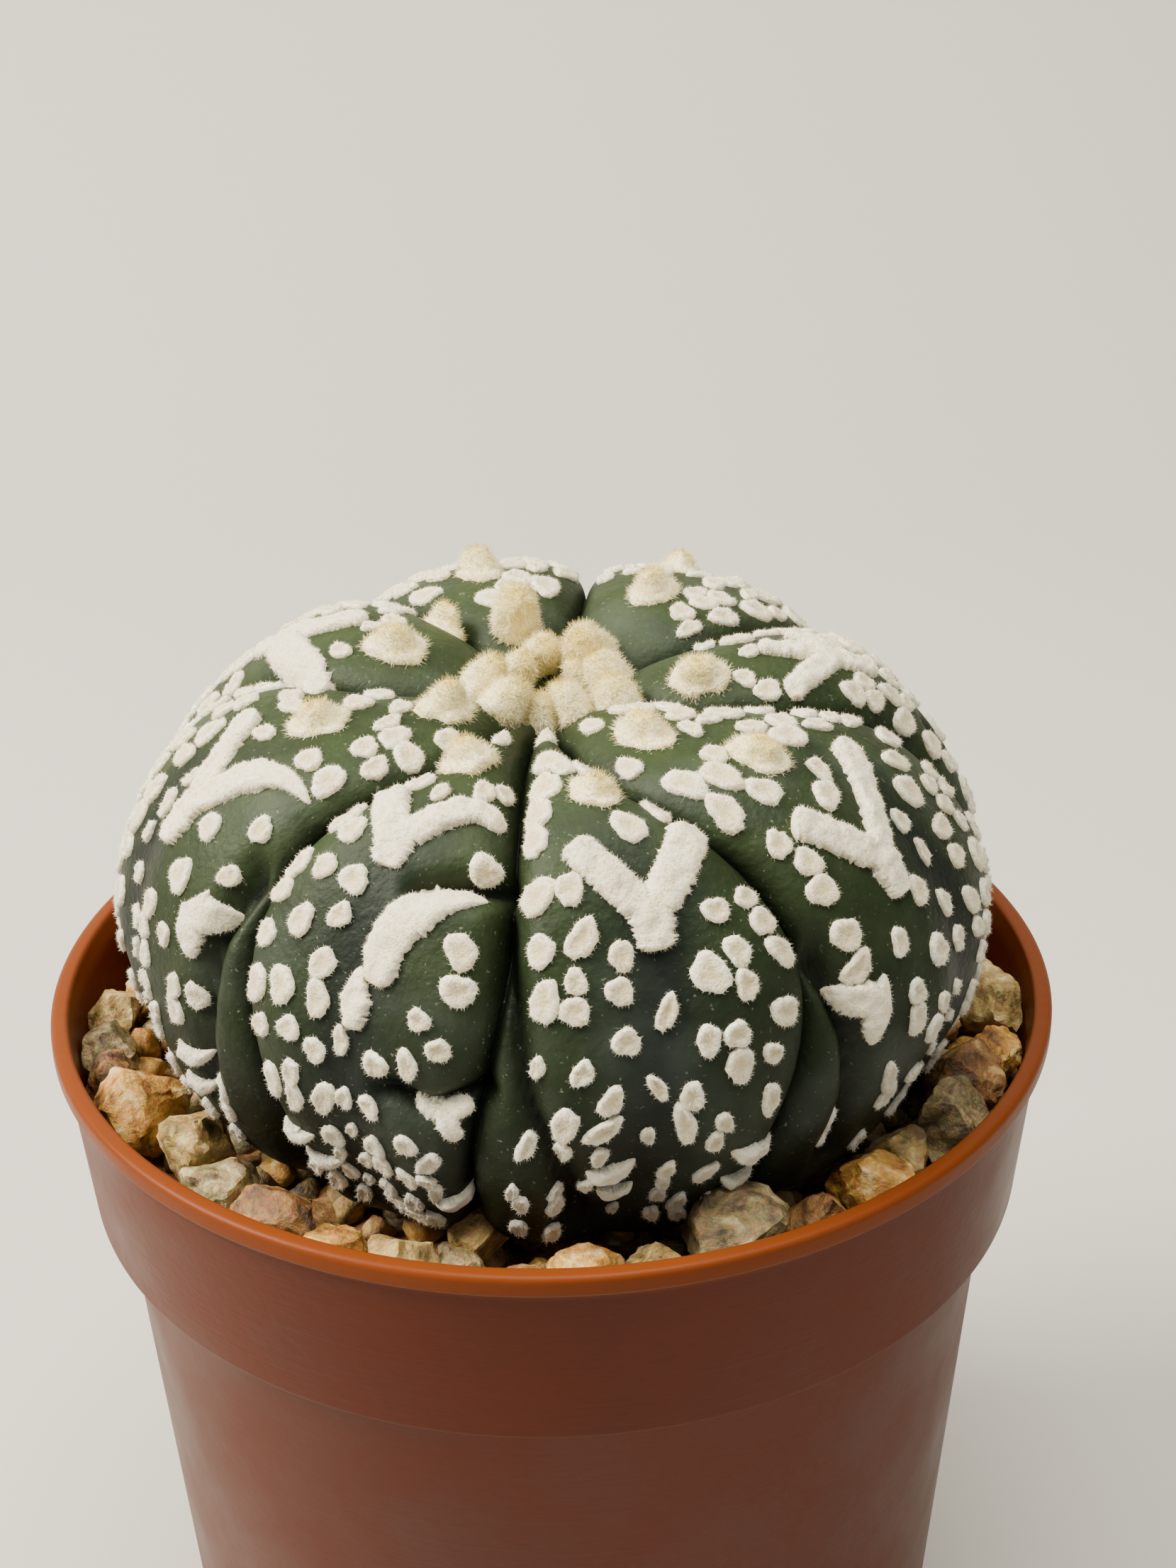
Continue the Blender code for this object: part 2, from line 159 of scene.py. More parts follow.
world.node_tree.nodes["Background"].inputs["Color"].default_value = linear("#e9edf2")
world.node_tree.nodes["Background"].inputs["Strength"].default_value = ROOM_GLOW

for name, place, size, watts, tint in (
    ("window_light", (-0.60, -0.05, 0.66), 0.45, 23.0, "#fff7ea"),
    ("fill_light", (0.65, -0.55, 0.55), 0.80, 1.4, "#f8f6f2"),
    ("ceiling_light", (0.05, -0.10, 0.95), 0.60, 13.0, "#fffbf2"),
):
    light = bpy.data.lights.new(name, "AREA")
    light.shape = "DISK"
    light.size = size
    light.energy = watts
    light.color = linear(tint)[:3]
    lamp = bpy.data.objects.new(name, light)
    bpy.context.scene.collection.objects.link(lamp)
    lamp.location = place
    lamp.rotation_euler = (Vector(LIGHTS_AIM) - Vector(place)).to_track_quat("-Z", "Y").to_euler()

camera_data = bpy.data.cameras.new("camera")
camera_data.lens = CAMERA_LENS
camera_data.sensor_width = 36.0
camera_data.clip_start = 0.01
camera = bpy.data.objects.new("camera", camera_data)
bpy.context.scene.collection.objects.link(camera)
camera.matrix_world = (
    Matrix.Translation(CAMERA_PLACE)
    @ Matrix.Rotation(-CAMERA_TURN, 4, "Z")
    @ Matrix.Rotation(math.pi / 2 - CAMERA_DOWN, 4, "X")
    @ Matrix.Rotation(CAMERA_ROLL, 4, "Z")
)
bpy.context.scene.camera = camera

# ---------------------------------------------------------------------------------------------
# The pot: injection-moulded terracotta-brown polypropylene, 0.9 mm thick, with a plain band under
# a thicker rolled lip. It is turned in one piece here, then its drainage is cut through.
# ---------------------------------------------------------------------------------------------
POT_LOW, POT_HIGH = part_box("pot")
POT_HEIGHT = POT_HIGH.z
RIM_RADIUS = (POT_HIGH.x - POT_LOW.x) / 2
LIP_WIDTH = 1.6 * MM
WALL = 0.9 * MM
BAND_HEIGHT = 17.6 * MM
BAND_TOP_RADIUS = 44.1 * MM
BAND_FOOT_RADIUS = 42.9 * MM
BODY_TOP_RADIUS = 40.5 * MM
FOOT_RADIUS = 36.3 * MM
FOOT_RING_WIDTH = 3.0 * MM
UNDERSIDE_RISE = 2.2 * MM
FLOOR_TOP = 3.4 * MM
DRAIN_HOLES = 6
DRAIN_HOLE_RADIUS = 3.5 * MM
DRAIN_CIRCLE_RADIUS = 23.0 * MM
MIDDLE_HOLE_RADIUS = 4.5 * MM
FOOT_NOTCHES = 4
FOOT_NOTCH_WIDTH = 6.0 * MM
FOOT_NOTCH_HEIGHT = 1.2 * MM
DRAIN_CUT_DEPTH = 10 * MM
DRAIN_SEGMENTS = 40
FLOOR_ROUND = 1.2 * MM
STEP_SLOPE = 1.2 * MM
LIP_DEPTH = 3.0 * MM
LIP_INNER_ROUND = 0.45 * MM
LIP_OUTER_ROUND = 0.55 * MM
LIP_UNDER_ROUND = 0.4 * MM
LIP_LIGHT_DEPTH = 1.4 * MM
BAND_FOOT_ROUND = 0.5 * MM
FOOT_ROUND = 0.6 * MM
POT_EDGE = math.radians(38)
TURN_STEPS = 256
MOULD_CLOUD = 14.29 * MM
TURNING_SPACING = 0.3846 * MM
TURNING_LENGTH = 16.67 * MM
SCUFF_SIZE = 1.111 * MM


def add(tree, kind, values=None, links=None, stops=(), **settings):
    """Adds a node: its settings, the values and links of its inputs, and a colour ramp's stops."""
    node = tree.nodes.new(kind)
    for name, value in settings.items():
        setattr(node, name, value)
    for socket, value in (values or {}).items():
        node.inputs[socket].default_value = value
    for socket, source in (links or {}).items():
        tree.links.new(source, node.inputs[socket])
    for i, (place, colour) in enumerate(stops):
        stop = node.color_ramp.elements[i] if i < 2 else node.color_ramp.elements.new(place)
        stop.position = place
        stop.color = linear(colour)
    return node


def fit(piece, slot, *nodes):
    """Fixes a piece to the object and hides the CAD nodes that it stands for; its slot is not used."""
    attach(piece, "root")
    if nodes:
        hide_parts(*nodes)


def face_outwards(piece):
    """Turns every face of a closed mesh outwards."""
    shape = bmesh.new()
    shape.from_mesh(piece.data)
    bmesh.ops.recalc_face_normals(shape, faces=shape.faces)
    shape.to_mesh(piece.data)
    shape.free()


def body_radius(height):
    """Outer radius of the pot's tapered body."""
    step_height = POT_HEIGHT - BAND_HEIGHT
    return FOOT_RADIUS + (BODY_TOP_RADIUS - FOOT_RADIUS) * height / step_height


def inner_radius(height):
    """Inner radius of the pot at a height above its floor."""
    step_height = POT_HEIGHT - BAND_HEIGHT
    if height < step_height:
        return body_radius(height) - WALL
    up = (height - step_height) / BAND_HEIGHT
    return BAND_FOOT_RADIUS + (BAND_TOP_RADIUS - BAND_FOOT_RADIUS) * up - WALL


def arc(middle, radius, start, end, steps):
    """Points of a round edge in the profile's plane, angles in degrees from +X."""
    angles = [math.radians(start + (end - start) * i / steps) for i in range(steps + 1)]
    return [(middle[0] + radius * math.cos(a), middle[1] + radius * math.sin(a)) for a in angles]


def pot_profile():
    """Pot wall from the middle of its floor, up the inside, over the lip and down the outside."""
    step = POT_HEIGHT - BAND_HEIGHT
    lip_inner = RIM_RADIUS - LIP_WIDTH
    floor_edge = inner_radius(FLOOR_TOP)
    profile = [(0.0, FLOOR_TOP)]
    profile += arc((floor_edge - FLOOR_ROUND, FLOOR_TOP + FLOOR_ROUND), FLOOR_ROUND, -90, 0, 5)
    profile += [(inner_radius(step - STEP_SLOPE), step - STEP_SLOPE)]
    profile += [(inner_radius(step) - 0.6 * MM, step + 0.2 * MM)]
    profile += [(inner_radius(step + MM), step + STEP_SLOPE)]
    profile += [(inner_radius(POT_HEIGHT - LIP_DEPTH), POT_HEIGHT - LIP_DEPTH)]
    profile += [(lip_inner, POT_HEIGHT - 1.2 * MM)]
    inner, outer, under = LIP_INNER_ROUND, LIP_OUTER_ROUND, LIP_UNDER_ROUND
    profile += arc((lip_inner + inner, POT_HEIGHT - inner), inner, 180, 90, 5)
    profile += arc((RIM_RADIUS - outer, POT_HEIGHT - outer), outer, 90, 0, 6)
    profile += arc((RIM_RADIUS - under, POT_HEIGHT - 1.5 * MM), under, 0, -60, 4)
    profile += [(BAND_TOP_RADIUS + 0.1 * MM, POT_HEIGHT - 2.3 * MM)]
    profile += [(BAND_TOP_RADIUS, POT_HEIGHT - 2.8 * MM)]
    profile += arc((BAND_FOOT_RADIUS - BAND_FOOT_ROUND, step + BAND_FOOT_ROUND), BAND_FOOT_ROUND, 0, -90, 4)
    profile += [(BODY_TOP_RADIUS + 0.3 * MM, step - 0.1 * MM)]
    profile += [(BODY_TOP_RADIUS, step - 0.6 * MM)]
    profile += arc((body_radius(0) - FOOT_ROUND, FOOT_ROUND), FOOT_ROUND, 0, -90, 4)
    profile += [(FOOT_RADIUS - FOOT_RING_WIDTH, 0.0)]
    profile += [(FOOT_RADIUS - FOOT_RING_WIDTH - 0.3 * MM, UNDERSIDE_RISE)]
    profile += [(0.0, UNDERSIDE_RISE)]
    return profile


def turned(name, profile, steps, material):
    """Closed solid of revolution about Z, its first and last points on the axis."""
    vertices, loops = [], []
    for radius, height in profile:
        if radius == 0.0:
            loops.append([len(vertices)])
            vertices.append((0.0, 0.0, height))
            continue
        loops.append(range(len(vertices), len(vertices) + steps))
        for k in range(steps):
            angle = math.tau * k / steps
            vertices.append((radius * math.cos(angle), radius * math.sin(angle), height))
    faces = []
    for low, high in zip(loops, loops[1:]):
        for k in range(steps):
            m = (k + 1) % steps
            if len(low) == 1:
                faces.append((low[0], high[m], high[k]))
            elif len(high) == 1:
                faces.append((low[k], low[m], high[0]))
            else:
                faces.append((low[k], low[m], high[m], high[k]))
    piece = new_piece(name, vertices, faces, material)
    face_outwards(piece)
    return piece


def solid_mesh(thing):
    """Plain mesh of an object as its modifiers leave it; the modifiers are then taken off."""
    evaluated = thing.evaluated_get(bpy.context.evaluated_depsgraph_get())
    mesh = bpy.data.meshes.new_from_object(evaluated)
    mesh.name = thing.name
    thing.modifiers.clear()
    thing.data = mesh
    return mesh


# Polypropylene: a satin moulded skin, reddish brown in the thick wall, with a faint mould haze, fine
# turning lines and a few scuffs.
# Painted light makes the lip and the top of the wall a lighter orange, for the light that the thin lip
# catches and lets through.
# Real turning lines are too fine to show, so they are drawn about 0.4 mm apart.
pot_polypropylene, tree, shader = new_material(
    "pot_polypropylene", Roughness=0.4, IOR=1.49, Specular_IOR_Level=0.10
)
place = add(tree, "ShaderNodeTexCoord").outputs["Object"]
height = add(tree, "ShaderNodeSeparateXYZ", links={0: place}).outputs["Z"]
cloud = add(
    tree,
    "ShaderNodeTexNoise",
    {"Scale": 1 / MOULD_CLOUD, "Detail": 4.0, "Roughness": 0.6},
    {"Vector": place},
)
wall_colour = add(
    tree,
    "ShaderNodeValToRGB",
    links={0: cloud.outputs["Fac"]},
    stops=((0.3, "#481a06"), (0.7, "#521f08")),
)
# Painted light: the top few millimetres, over the lip, are painted a lighter orange.
lip_light_share = add(
    tree,
    "ShaderNodeMapRange",
    {"From Min": POT_HEIGHT - LIP_DEPTH, "From Max": POT_HEIGHT - LIP_LIGHT_DEPTH},
    {"Value": height},
    interpolation_type="SMOOTHSTEP",
)
coloured = add(
    tree,
    "ShaderNodeMix",
    {7: linear("#652e0c")},
    {0: lip_light_share.outputs[0], 6: wall_colour.outputs[0]},
    data_type="RGBA",
)
ring_scale = (1 / TURNING_LENGTH, 1 / TURNING_LENGTH, 1 / TURNING_SPACING)
rings = add(tree, "ShaderNodeMapping", {"Scale": ring_scale}, {"Vector": place})
ring_lines = add(
    tree, "ShaderNodeTexNoise", {"Scale": 1.0, "Detail": 2.0}, {"Vector": rings.outputs[0]}
)
scuffs = add(
    tree, "ShaderNodeTexNoise", {"Scale": 1 / SCUFF_SIZE, "Detail": 3.0}, {"Vector": place}
)
skin_height = add(
    tree,
    "ShaderNodeMath",
    {1: 0.5},
    {0: ring_lines.outputs["Fac"], 2: scuffs.outputs["Fac"]},
    operation="MULTIPLY_ADD",
)
bump = add(
    tree, "ShaderNodeBump", {"Strength": 0.25, "Distance": 0.00012}, {"Height": skin_height.outputs[0]}
)
gloss = add(
    tree,
    "ShaderNodeMapRange",
    {"From Min": 0.3, "From Max": 0.7, "To Min": 0.34, "To Max": 0.5},
    {"Value": cloud.outputs["Fac"]},
)
tree.links.new(coloured.outputs[2], shader.inputs["Base Color"])
tree.links.new(gloss.outputs[0], shader.inputs["Roughness"])
tree.links.new(bump.outputs[0], shader.inputs["Normal"])

pot = turned("nursery_pot", pot_profile(), TURN_STEPS, pot_polypropylene)
cutters = []
drains = [(0.0, 0.0, MIDDLE_HOLE_RADIUS)]
for i in range(DRAIN_HOLES):
    angle = math.tau * i / DRAIN_HOLES
    x, y = DRAIN_CIRCLE_RADIUS * math.cos(angle), DRAIN_CIRCLE_RADIUS * math.sin(angle)
    drains.append((x, y, DRAIN_HOLE_RADIUS))
for x, y, radius in drains:
    shape = bmesh.new()
    bmesh.ops.create_cone(
        shape,
        cap_ends=True,
        segments=DRAIN_SEGMENTS,
        radius1=radius,
        radius2=radius,
        depth=DRAIN_CUT_DEPTH,
        matrix=Matrix.Translation((x, y, (UNDERSIDE_RISE + FLOOR_TOP) / 2)),
    )
    cutters.append(shape)
for i in range(FOOT_NOTCHES):
    angle = math.tau * (i + 0.5) / FOOT_NOTCHES
    shape = bmesh.new()
    size = (FOOT_RING_WIDTH * 3, FOOT_NOTCH_WIDTH, FOOT_NOTCH_HEIGHT * 2, 1.0)
    turn = Matrix.Rotation(angle, 4, "Z")
    reach = Matrix.Translation((FOOT_RADIUS - FOOT_RING_WIDTH / 2, 0, 0))
    bmesh.ops.create_cube(shape, size=1.0, matrix=turn @ reach @ Matrix.Diagonal(size))
    cutters.append(shape)
for shape in cutters:
    tool_mesh = bpy.data.meshes.new("drain_tool")
    shape.to_mesh(tool_mesh)
    shape.free()
    tool = bpy.data.objects.new("drain_tool", tool_mesh)
    bpy.context.scene.collection.objects.link(tool)
    opening = pot.modifiers.new("Opening", "BOOLEAN")
    opening.operation = "DIFFERENCE"
    opening.object = tool
    solid_mesh(pot)
    bpy.data.objects.remove(tool)
pot.data.set_sharp_from_angle(angle=POT_EDGE)
fit(pot, "pot_plastic", "pot")

# ---------------------------------------------------------------------------------------------
# The potting mix: dark, damp, crumbly mineral soil that fills the pot under the grit. It is
# poured in and pressed down, and shows only as dark crumbs between the stones.
# ---------------------------------------------------------------------------------------------
# Damp soil: near black brown, very rough, with crumbs of 1 to 2 mm and pale mineral specks.
CRUMB_SIZE = 1.429 * MM
damp_soil, tree, shader = new_material("damp_soil", Roughness=0.95)
place = add(tree, "ShaderNodeTexCoord").outputs["Object"]
crumbs = add(
    tree, "ShaderNodeTexVoronoi", {"Scale": 1 / CRUMB_SIZE, "Randomness": 1.0}, {"Vector": place}
)
soil_colour = add(
    tree,
    "ShaderNodeValToRGB",
    links={0: crumbs.outputs["Color"]},
    stops=((0.0, "#1f150e"), (0.75, "#3c2a1c"), (1.0, "#6a563f")),
)
bump = add(
    tree, "ShaderNodeBump", {"Strength": 1.0, "Distance": 0.0008}, {"Height": crumbs.outputs["Distance"]}
)
tree.links.new(soil_colour.outputs[0], shader.inputs["Base Color"])
tree.links.new(bump.outputs[0], shader.inputs["Normal"])
frame["nodes"]["potting_mix"].data.materials.clear()
frame["nodes"]["potting_mix"].data.materials.append(damp_soil)

# ---------------------------------------------------------------------------------------------
# The plant's body: eight fleshy ribs round a sunken crown, in one grown piece down to the taproot.
# Each rib has narrow grooves beside it, a shallow channel along its areole line, and a few folds.
# ---------------------------------------------------------------------------------------------
PLANT_X = 0.5 * MM
PLANT_Y = -2.8 * MM
RIB_COUNT = 8
GROOVE_DEPTH = 1.7 * MM
GROOVE_SHOULDER = 1.7 * MM
CREASE_DEPTH = 1.1 * MM
CREASE_SHOULDER = 0.4 * MM
LOBE_DEPTH = 0.9 * MM
CHANNEL_DEPTH = 0.9 * MM
CHANNEL_WIDTH = 3.2 * MM
FOLD_DEPTH = 2.1 * MM
FOLD_SHOULDER = 1.0 * MM
FRONT_DIP = 2.2 * MM
FRONT_SAG = 2.6 * MM
SWELL_SIZE = 0.3 * MM
SWELL_TURNS = (260.0, 230.0, 290.0)
SWELL_REACH = 30 * MM
OUTLINE_REACH = 0.8 * MM
DIP_START = 9 * MM
DIP_END = (16 * MM, 32 * MM)
SAG_START = (36 * MM, 52 * MM)
SAG_END = (64 * MM, 74 * MM)
RELIEF_START = 14 * MM
RELIEF_END = (70 * MM, 95 * MM)
CHANNEL_START = (22 * MM, 50 * MM)
FOLD_FADE = 4 * MM
FOLD_SIDE_FADE = 0.07
LONG_FOLD = 5 * MM
MOTTLE_SIZE = 4.545 * MM
BLOOM_PATCH = 13.33 * MM
SPECK_SPACING = 0.3846 * MM
PORE_SPACING = 0.6667 * MM
# Painted shade on the skin: how wide it is and where it starts down the skin.
CHANNEL_SHADE_WIDTH = 3.8 * MM
CHANNEL_SHADE_START = (20 * MM, 42 * MM)
LOW_SHADE_START = (26 * MM, 62 * MM)
GROOVE_SHADE_WIDTH = 0.7 * MM
GROOVE_SHADE_START = (3 * MM, 12 * MM)
SKIN_COLUMNS = 50
SHOWN_ROWS = 216
ROOT_ROWS = 24
ROOT_START_MM = 72.0

# Half outline along a rib's crest: radius, and height above the pot's rim, in millimetres. It
# runs from the sunken crown over the shoulder and the waist to the neck and the cut-down taproot.
CREST_OUTLINE_MM = (
    (0.0, 27.4),
    (3.0, 28.6),
    (6.0, 31.0),
    (9.0, 32.6),
    (13.0, 33.4),
    (18.0, 33.1),
    (23.4, 31.4),
    (28.6, 28.2),
    (33.0, 23.8),
    (36.4, 18.6),
    (37.9, 12.9),
    (37.4, 7.6),
    (36.0, 3.4),
    (34.3, -0.2),
    (31.8, -3.2),
    (28.4, -5.9),
    (24.4, -8.6),
    (19.6, -11.8),
    (14.5, -15.5),
    (11.5, -21.0),
    (8.5, -29.0),
    (4.5, -37.0),
    (0.0, -40.0),
)

# Bearing of each groove in degrees, from +X anticlockwise, at these distances in millimetres
# down the skin from the middle of the crown.
GROOVE_STATIONS_MM = (12, 22, 30, 38, 46, 53, 64)
GROOVE_BEARINGS = (
    (-100, -97.5, -96.5, -96.5, -98.5, -101.5, -102),
    (-88, -76.5, -64, -57, -56, -61, -67),
    (-37, -22, -10, -3, -3, -4, -4),
    (12, 20, 29, 34, 36, 37, 38),
    (77, 80, 82, 83, 83, 83, 82),
    (138, 134, 131, 128, 127, 126, 124),
    (205, 183, 170, 170, 172, 172, 172),
    (248, 240, 229, 224, 226, 231, 232),
)

# Small folds that split a rib low down, each a line of bearing in degrees and distance down the
# skin in millimetres.
FOLDS = (
    ((-96.5, 38), (-95, 44), (-93.5, 49), (-90.5, 54), (-88.5, 60)),
    ((-54.5, 43), (-52, 49), (-52, 54), (-54, 59)),
    ((-138, 38), (-140, 43), (-140, 49), (-140, 55)),
    ((-110, 48.5), (-105, 49.5), (-100, 48)),
    ((-109, 34.5), (-103, 33.5), (-98, 33.2)),
    ((6, 40), (8, 48), (9, 56)),
    ((152, 40), (150, 48), (151, 56)),
)


def outline_curve():
    """The crest outline as closely spaced points: distance down the skin, radius and height."""
    points = np.array(CREST_OUTLINE_MM) * MM
    padded = np.vstack((points[:1], points, points[-1:]))
    fine = []
    for before, start, end, after in zip(padded, padded[1:], padded[2:], padded[3:]):
        for u in np.linspace(0, 1, 40, endpoint=False):
            fine.append(
                0.5
                * (
                    2 * start
                    + (end - before) * u
                    + (2 * before - 5 * start + 4 * end - after) * u**2
                    + (3 * start - before - 3 * end + after) * u**3
                )
            )
    fine = np.array(fine + [points[-1]])
    steps = np.hypot(*np.diff(fine, axis=0).T)
    return np.concatenate(((0.0,), np.cumsum(steps))), fine[:, 0], fine[:, 1] + POT_HEIGHT


DOWN_SKIN, OUTLINE_RADIUS, OUTLINE_HEIGHT = outline_curve()
SKIN_LENGTH = DOWN_SKIN[-1]
GROOVES = np.radians(np.array(GROOVE_BEARINGS + (GROOVE_BEARINGS[0],), float))
GROOVES[-1] += math.tau


def ease(low, high, value):
    """Smooth step from 0 at low to 1 at high."""
    share = np.clip((value - low) / (high - low), 0, 1)
    return share * share * (3 - 2 * share)


def groove_lines(down):
    """Bearings of all grooves, with the first one again at the end, for distances down the skin."""
    stations = np.array(GROOVE_STATIONS_MM) * MM
    lines = []
    for bearings in GROOVES:
        near = [np.interp(down + shift * MM, stations, bearings) for shift in (-4, -2, 0, 2, 4)]
        lines.append(sum(near) / len(near))
    return np.array(lines)


def turn_at(bearing, down):
    """Place across the ribs, 0 at the first groove and 1 more at each next, for bearings."""
    lines = groove_lines(down)
    bearing = lines[0] + (bearing - lines[0]) % math.tau
    rib = np.clip((lines <= bearing).sum(0) - 1, 0, RIB_COUNT - 1)
    start = np.take_along_axis(lines, rib[None], 0)[0]
    end = np.take_along_axis(lines, rib[None] + 1, 0)[0]
    return rib + (bearing - start) / (end - start)


def bearing_of(down, turn):
    """Bearing, place across the rib and the rib's width in radians, for arrays of places."""
    rib = np.clip(np.floor(turn).astype(int), 0, RIB_COUNT - 1)
    lines = groove_lines(down)
    start = np.take_along_axis(lines, rib[None], 0)[0]
    end = np.take_along_axis(lines, rib[None] + 1, 0)[0]
    across = turn - rib
    return start + (end - start) * across, across, end - start


def fold_share(bearing, down, radius):
    """How near each place is to a fold, 1 in the fold and 0 well away from all of them."""
    share = np.zeros(np.shape(down))
    for fold in FOLDS:
        line = np.array(fold, float)
        line[:, 0] = np.radians(line[:, 0])
        line[:, 1] *= MM
        swing = (bearing - line[:, 0].mean() + math.pi) % math.tau - math.pi + line[:, 0].mean()
        if np.ptp(line[:, 1]) > LONG_FOLD:
            aside = np.abs(swing - np.interp(down, line[:, 1], line[:, 0])) * radius
            at, low, high, fade = down, line[0, 1], line[-1, 1], FOLD_FADE
        else:
            line = line[np.argsort(line[:, 0])]
            aside = np.abs(down - np.interp(swing, line[:, 0], line[:, 1]))
            at, low, high, fade = swing, line[0, 0], line[-1, 0], FOLD_SIDE_FADE
        ends = ease(low - fade, low, at) * (1 - ease(high, high + fade, at))
        share = np.maximum(share, np.exp(-((aside / FOLD_SHOULDER) ** 1.5)) * ends)
    return share


def skin(down, turn):
    """Points of the skin for arrays of distance down it and of place across the ribs."""
    down, turn = np.broadcast_arrays(np.asarray(down, float), np.asarray(turn, float))
    turn = turn % RIB_COUNT
    bearing, across, width = bearing_of(down, turn)
    radius = np.interp(down, DOWN_SKIN, OUTLINE_RADIUS)
    height = np.interp(down, DOWN_SKIN, OUTLINE_HEIGHT)
    step = OUTLINE_REACH
    run = np.interp(down + step, DOWN_SKIN, OUTLINE_RADIUS)
    run -= np.interp(down - step, DOWN_SKIN, OUTLINE_RADIUS)
    rise = np.interp(down + step, DOWN_SKIN, OUTLINE_HEIGHT)
    rise -= np.interp(down - step, DOWN_SKIN, OUTLINE_HEIGHT)
    slope = np.hypot(run, rise) + 1e-9
    out_radius, out_height = -rise / slope, run / slope
    strength = ease(0, RELIEF_START, down) * (1 - ease(*RELIEF_END, down))
    away = np.minimum(across, 1 - across) * width * radius
    from_line = (across - 0.5) * width * radius
    depth = np.exp(-away / GROOVE_SHOULDER) * GROOVE_DEPTH
    depth += np.exp(-away / CREASE_SHOULDER) * CREASE_DEPTH
    depth += (2 * np.abs(across - 0.5)) ** 2 * LOBE_DEPTH
    channel = ease(*CHANNEL_START, down) * CHANNEL_DEPTH
    depth += channel * np.exp(-((from_line / CHANNEL_WIDTH) ** 2))
    depth += fold_share(bearing, down, radius) * FOLD_DEPTH
    depth *= strength
    front = (1 - np.sin(bearing)) / 2
    dip = FRONT_DIP * ease(0, DIP_START, down) * (1 - ease(*DIP_END, down)) * front**1.5
    radius = np.maximum(radius - out_radius * depth, 0.0)
    sag = FRONT_SAG * ease(*SAG_START, down) * (1 - ease(*SAG_END, down)) * front**4
    height = height - out_height * depth - dip - sag
    x, y = radius * np.cos(bearing), radius * np.sin(bearing)
    waves = [np.sin(turns * axis) for turns, axis in zip(SWELL_TURNS, (x, y, height))]
    swell = 1 + (waves[0] * waves[1] + waves[2] * waves[0]) * SWELL_SIZE * strength / SWELL_REACH
    return np.stack((PLANT_X + x * swell, PLANT_Y + y * swell, height), -1)


def skin_frames(down, turn, reach=0.5 * MM):
    """Points, outward normals and downhill directions of the skin, for arrays of places."""
    down, turn = np.broadcast_arrays(np.asarray(down, float), np.asarray(turn, float))
    radius = np.maximum(np.interp(down, DOWN_SKIN, OUTLINE_RADIUS), 2 * MM)
    sideways = reach * RIB_COUNT / (math.tau * radius)
    ahead = skin(down + reach, turn) - skin(np.maximum(down - reach, 0.0), turn)
    right = skin(down, turn + sideways) - skin(down, turn - sideways)
    out = np.cross(ahead, right)
    out /= np.linalg.norm(out, axis=-1, keepdims=True)
    return skin(down, turn), out, ahead / np.linalg.norm(ahead, axis=-1, keepdims=True)


def add_layer(piece, name, values):
    """Stores one number for each vertex of a piece."""
    layer = piece.data.attributes.new(name, "FLOAT", "POINT")
    layer.data.foreach_set("value", values)


def row_turns():
    """Places across all ribs of one row's columns, closer together beside the grooves."""
    even = np.linspace(0, 1, SKIN_COLUMNS, endpoint=False)
    spaced = even - 0.07 * np.sin(2 * math.tau * even) / 2 - 0.06 * np.sin(math.tau * even)
    return np.concatenate([rib + spaced for rib in range(RIB_COUNT)])


def plant_rows():
    """Distances down the skin of all rows between the crown's middle and the root's tip."""
    shown = np.linspace(0, ROOT_START_MM * MM, SHOWN_ROWS + 1)[1:]
    root = np.linspace(ROOT_START_MM * MM, SKIN_LENGTH, ROOT_ROWS + 1)[1:-1]
    return np.concatenate((shown, root))


# Cactus epidermis: dark matt green with a waxy cuticle. It is olive on the shoulders, with a grey bloom in
# patches and pale pin specks.
# Painted shade makes it almost black along the channels, in the grooves and folds, and low down. Its pores
# are too fine to show, so they are drawn 0.7 mm apart.
cactus_epidermis, tree, shader = new_material(
    "cactus_epidermis", Roughness=0.55, IOR=1.42, Specular_IOR_Level=0.22
)
place = add(tree, "ShaderNodeTexCoord").outputs["Object"]
# Painted shade: the skin darkens along the channels.
channel = add(tree, "ShaderNodeAttribute", attribute_name="channel").outputs["Fac"]
# Painted shade: the skin darkens towards the bottom.
lowness = add(tree, "ShaderNodeAttribute", attribute_name="lowness").outputs["Fac"]
# Painted shade: the skin darkens in the grooves and folds.
groove = add(tree, "ShaderNodeAttribute", attribute_name="groove").outputs["Fac"]
mottle = add(
    tree,
    "ShaderNodeTexNoise",
    {"Scale": 1 / MOTTLE_SIZE, "Detail": 5.0, "Roughness": 0.65},
    {"Vector": place},
)
patches = add(
    tree,
    "ShaderNodeTexNoise",
    {"Scale": 1 / BLOOM_PATCH, "Detail": 3.0, "Roughness": 0.6},
    {"Vector": place},
)
specks = add(tree, "ShaderNodeTexNoise", {"Scale": 1 / SPECK_SPACING, "Detail": 1.0}, {"Vector": place})
green = add(
    tree,
    "ShaderNodeValToRGB",
    links={0: mottle.outputs["Fac"]},
    stops=((0.3, "#1c2611"), (0.55, "#28341a"), (0.75, "#344023")),
)
bloom_share = add(
    tree,
    "ShaderNodeMapRange",
    {"From Min": 0.5, "From Max": 0.72, "To Max": 0.4},
    {"Value": patches.outputs["Fac"]},
)
speck_share = add(
    tree,
    "ShaderNodeMapRange",
    {"From Min": 0.70, "From Max": 0.80, "To Max": 0.22},
    {"Value": specks.outputs["Fac"]},
)
skin_colour = green.outputs[0]
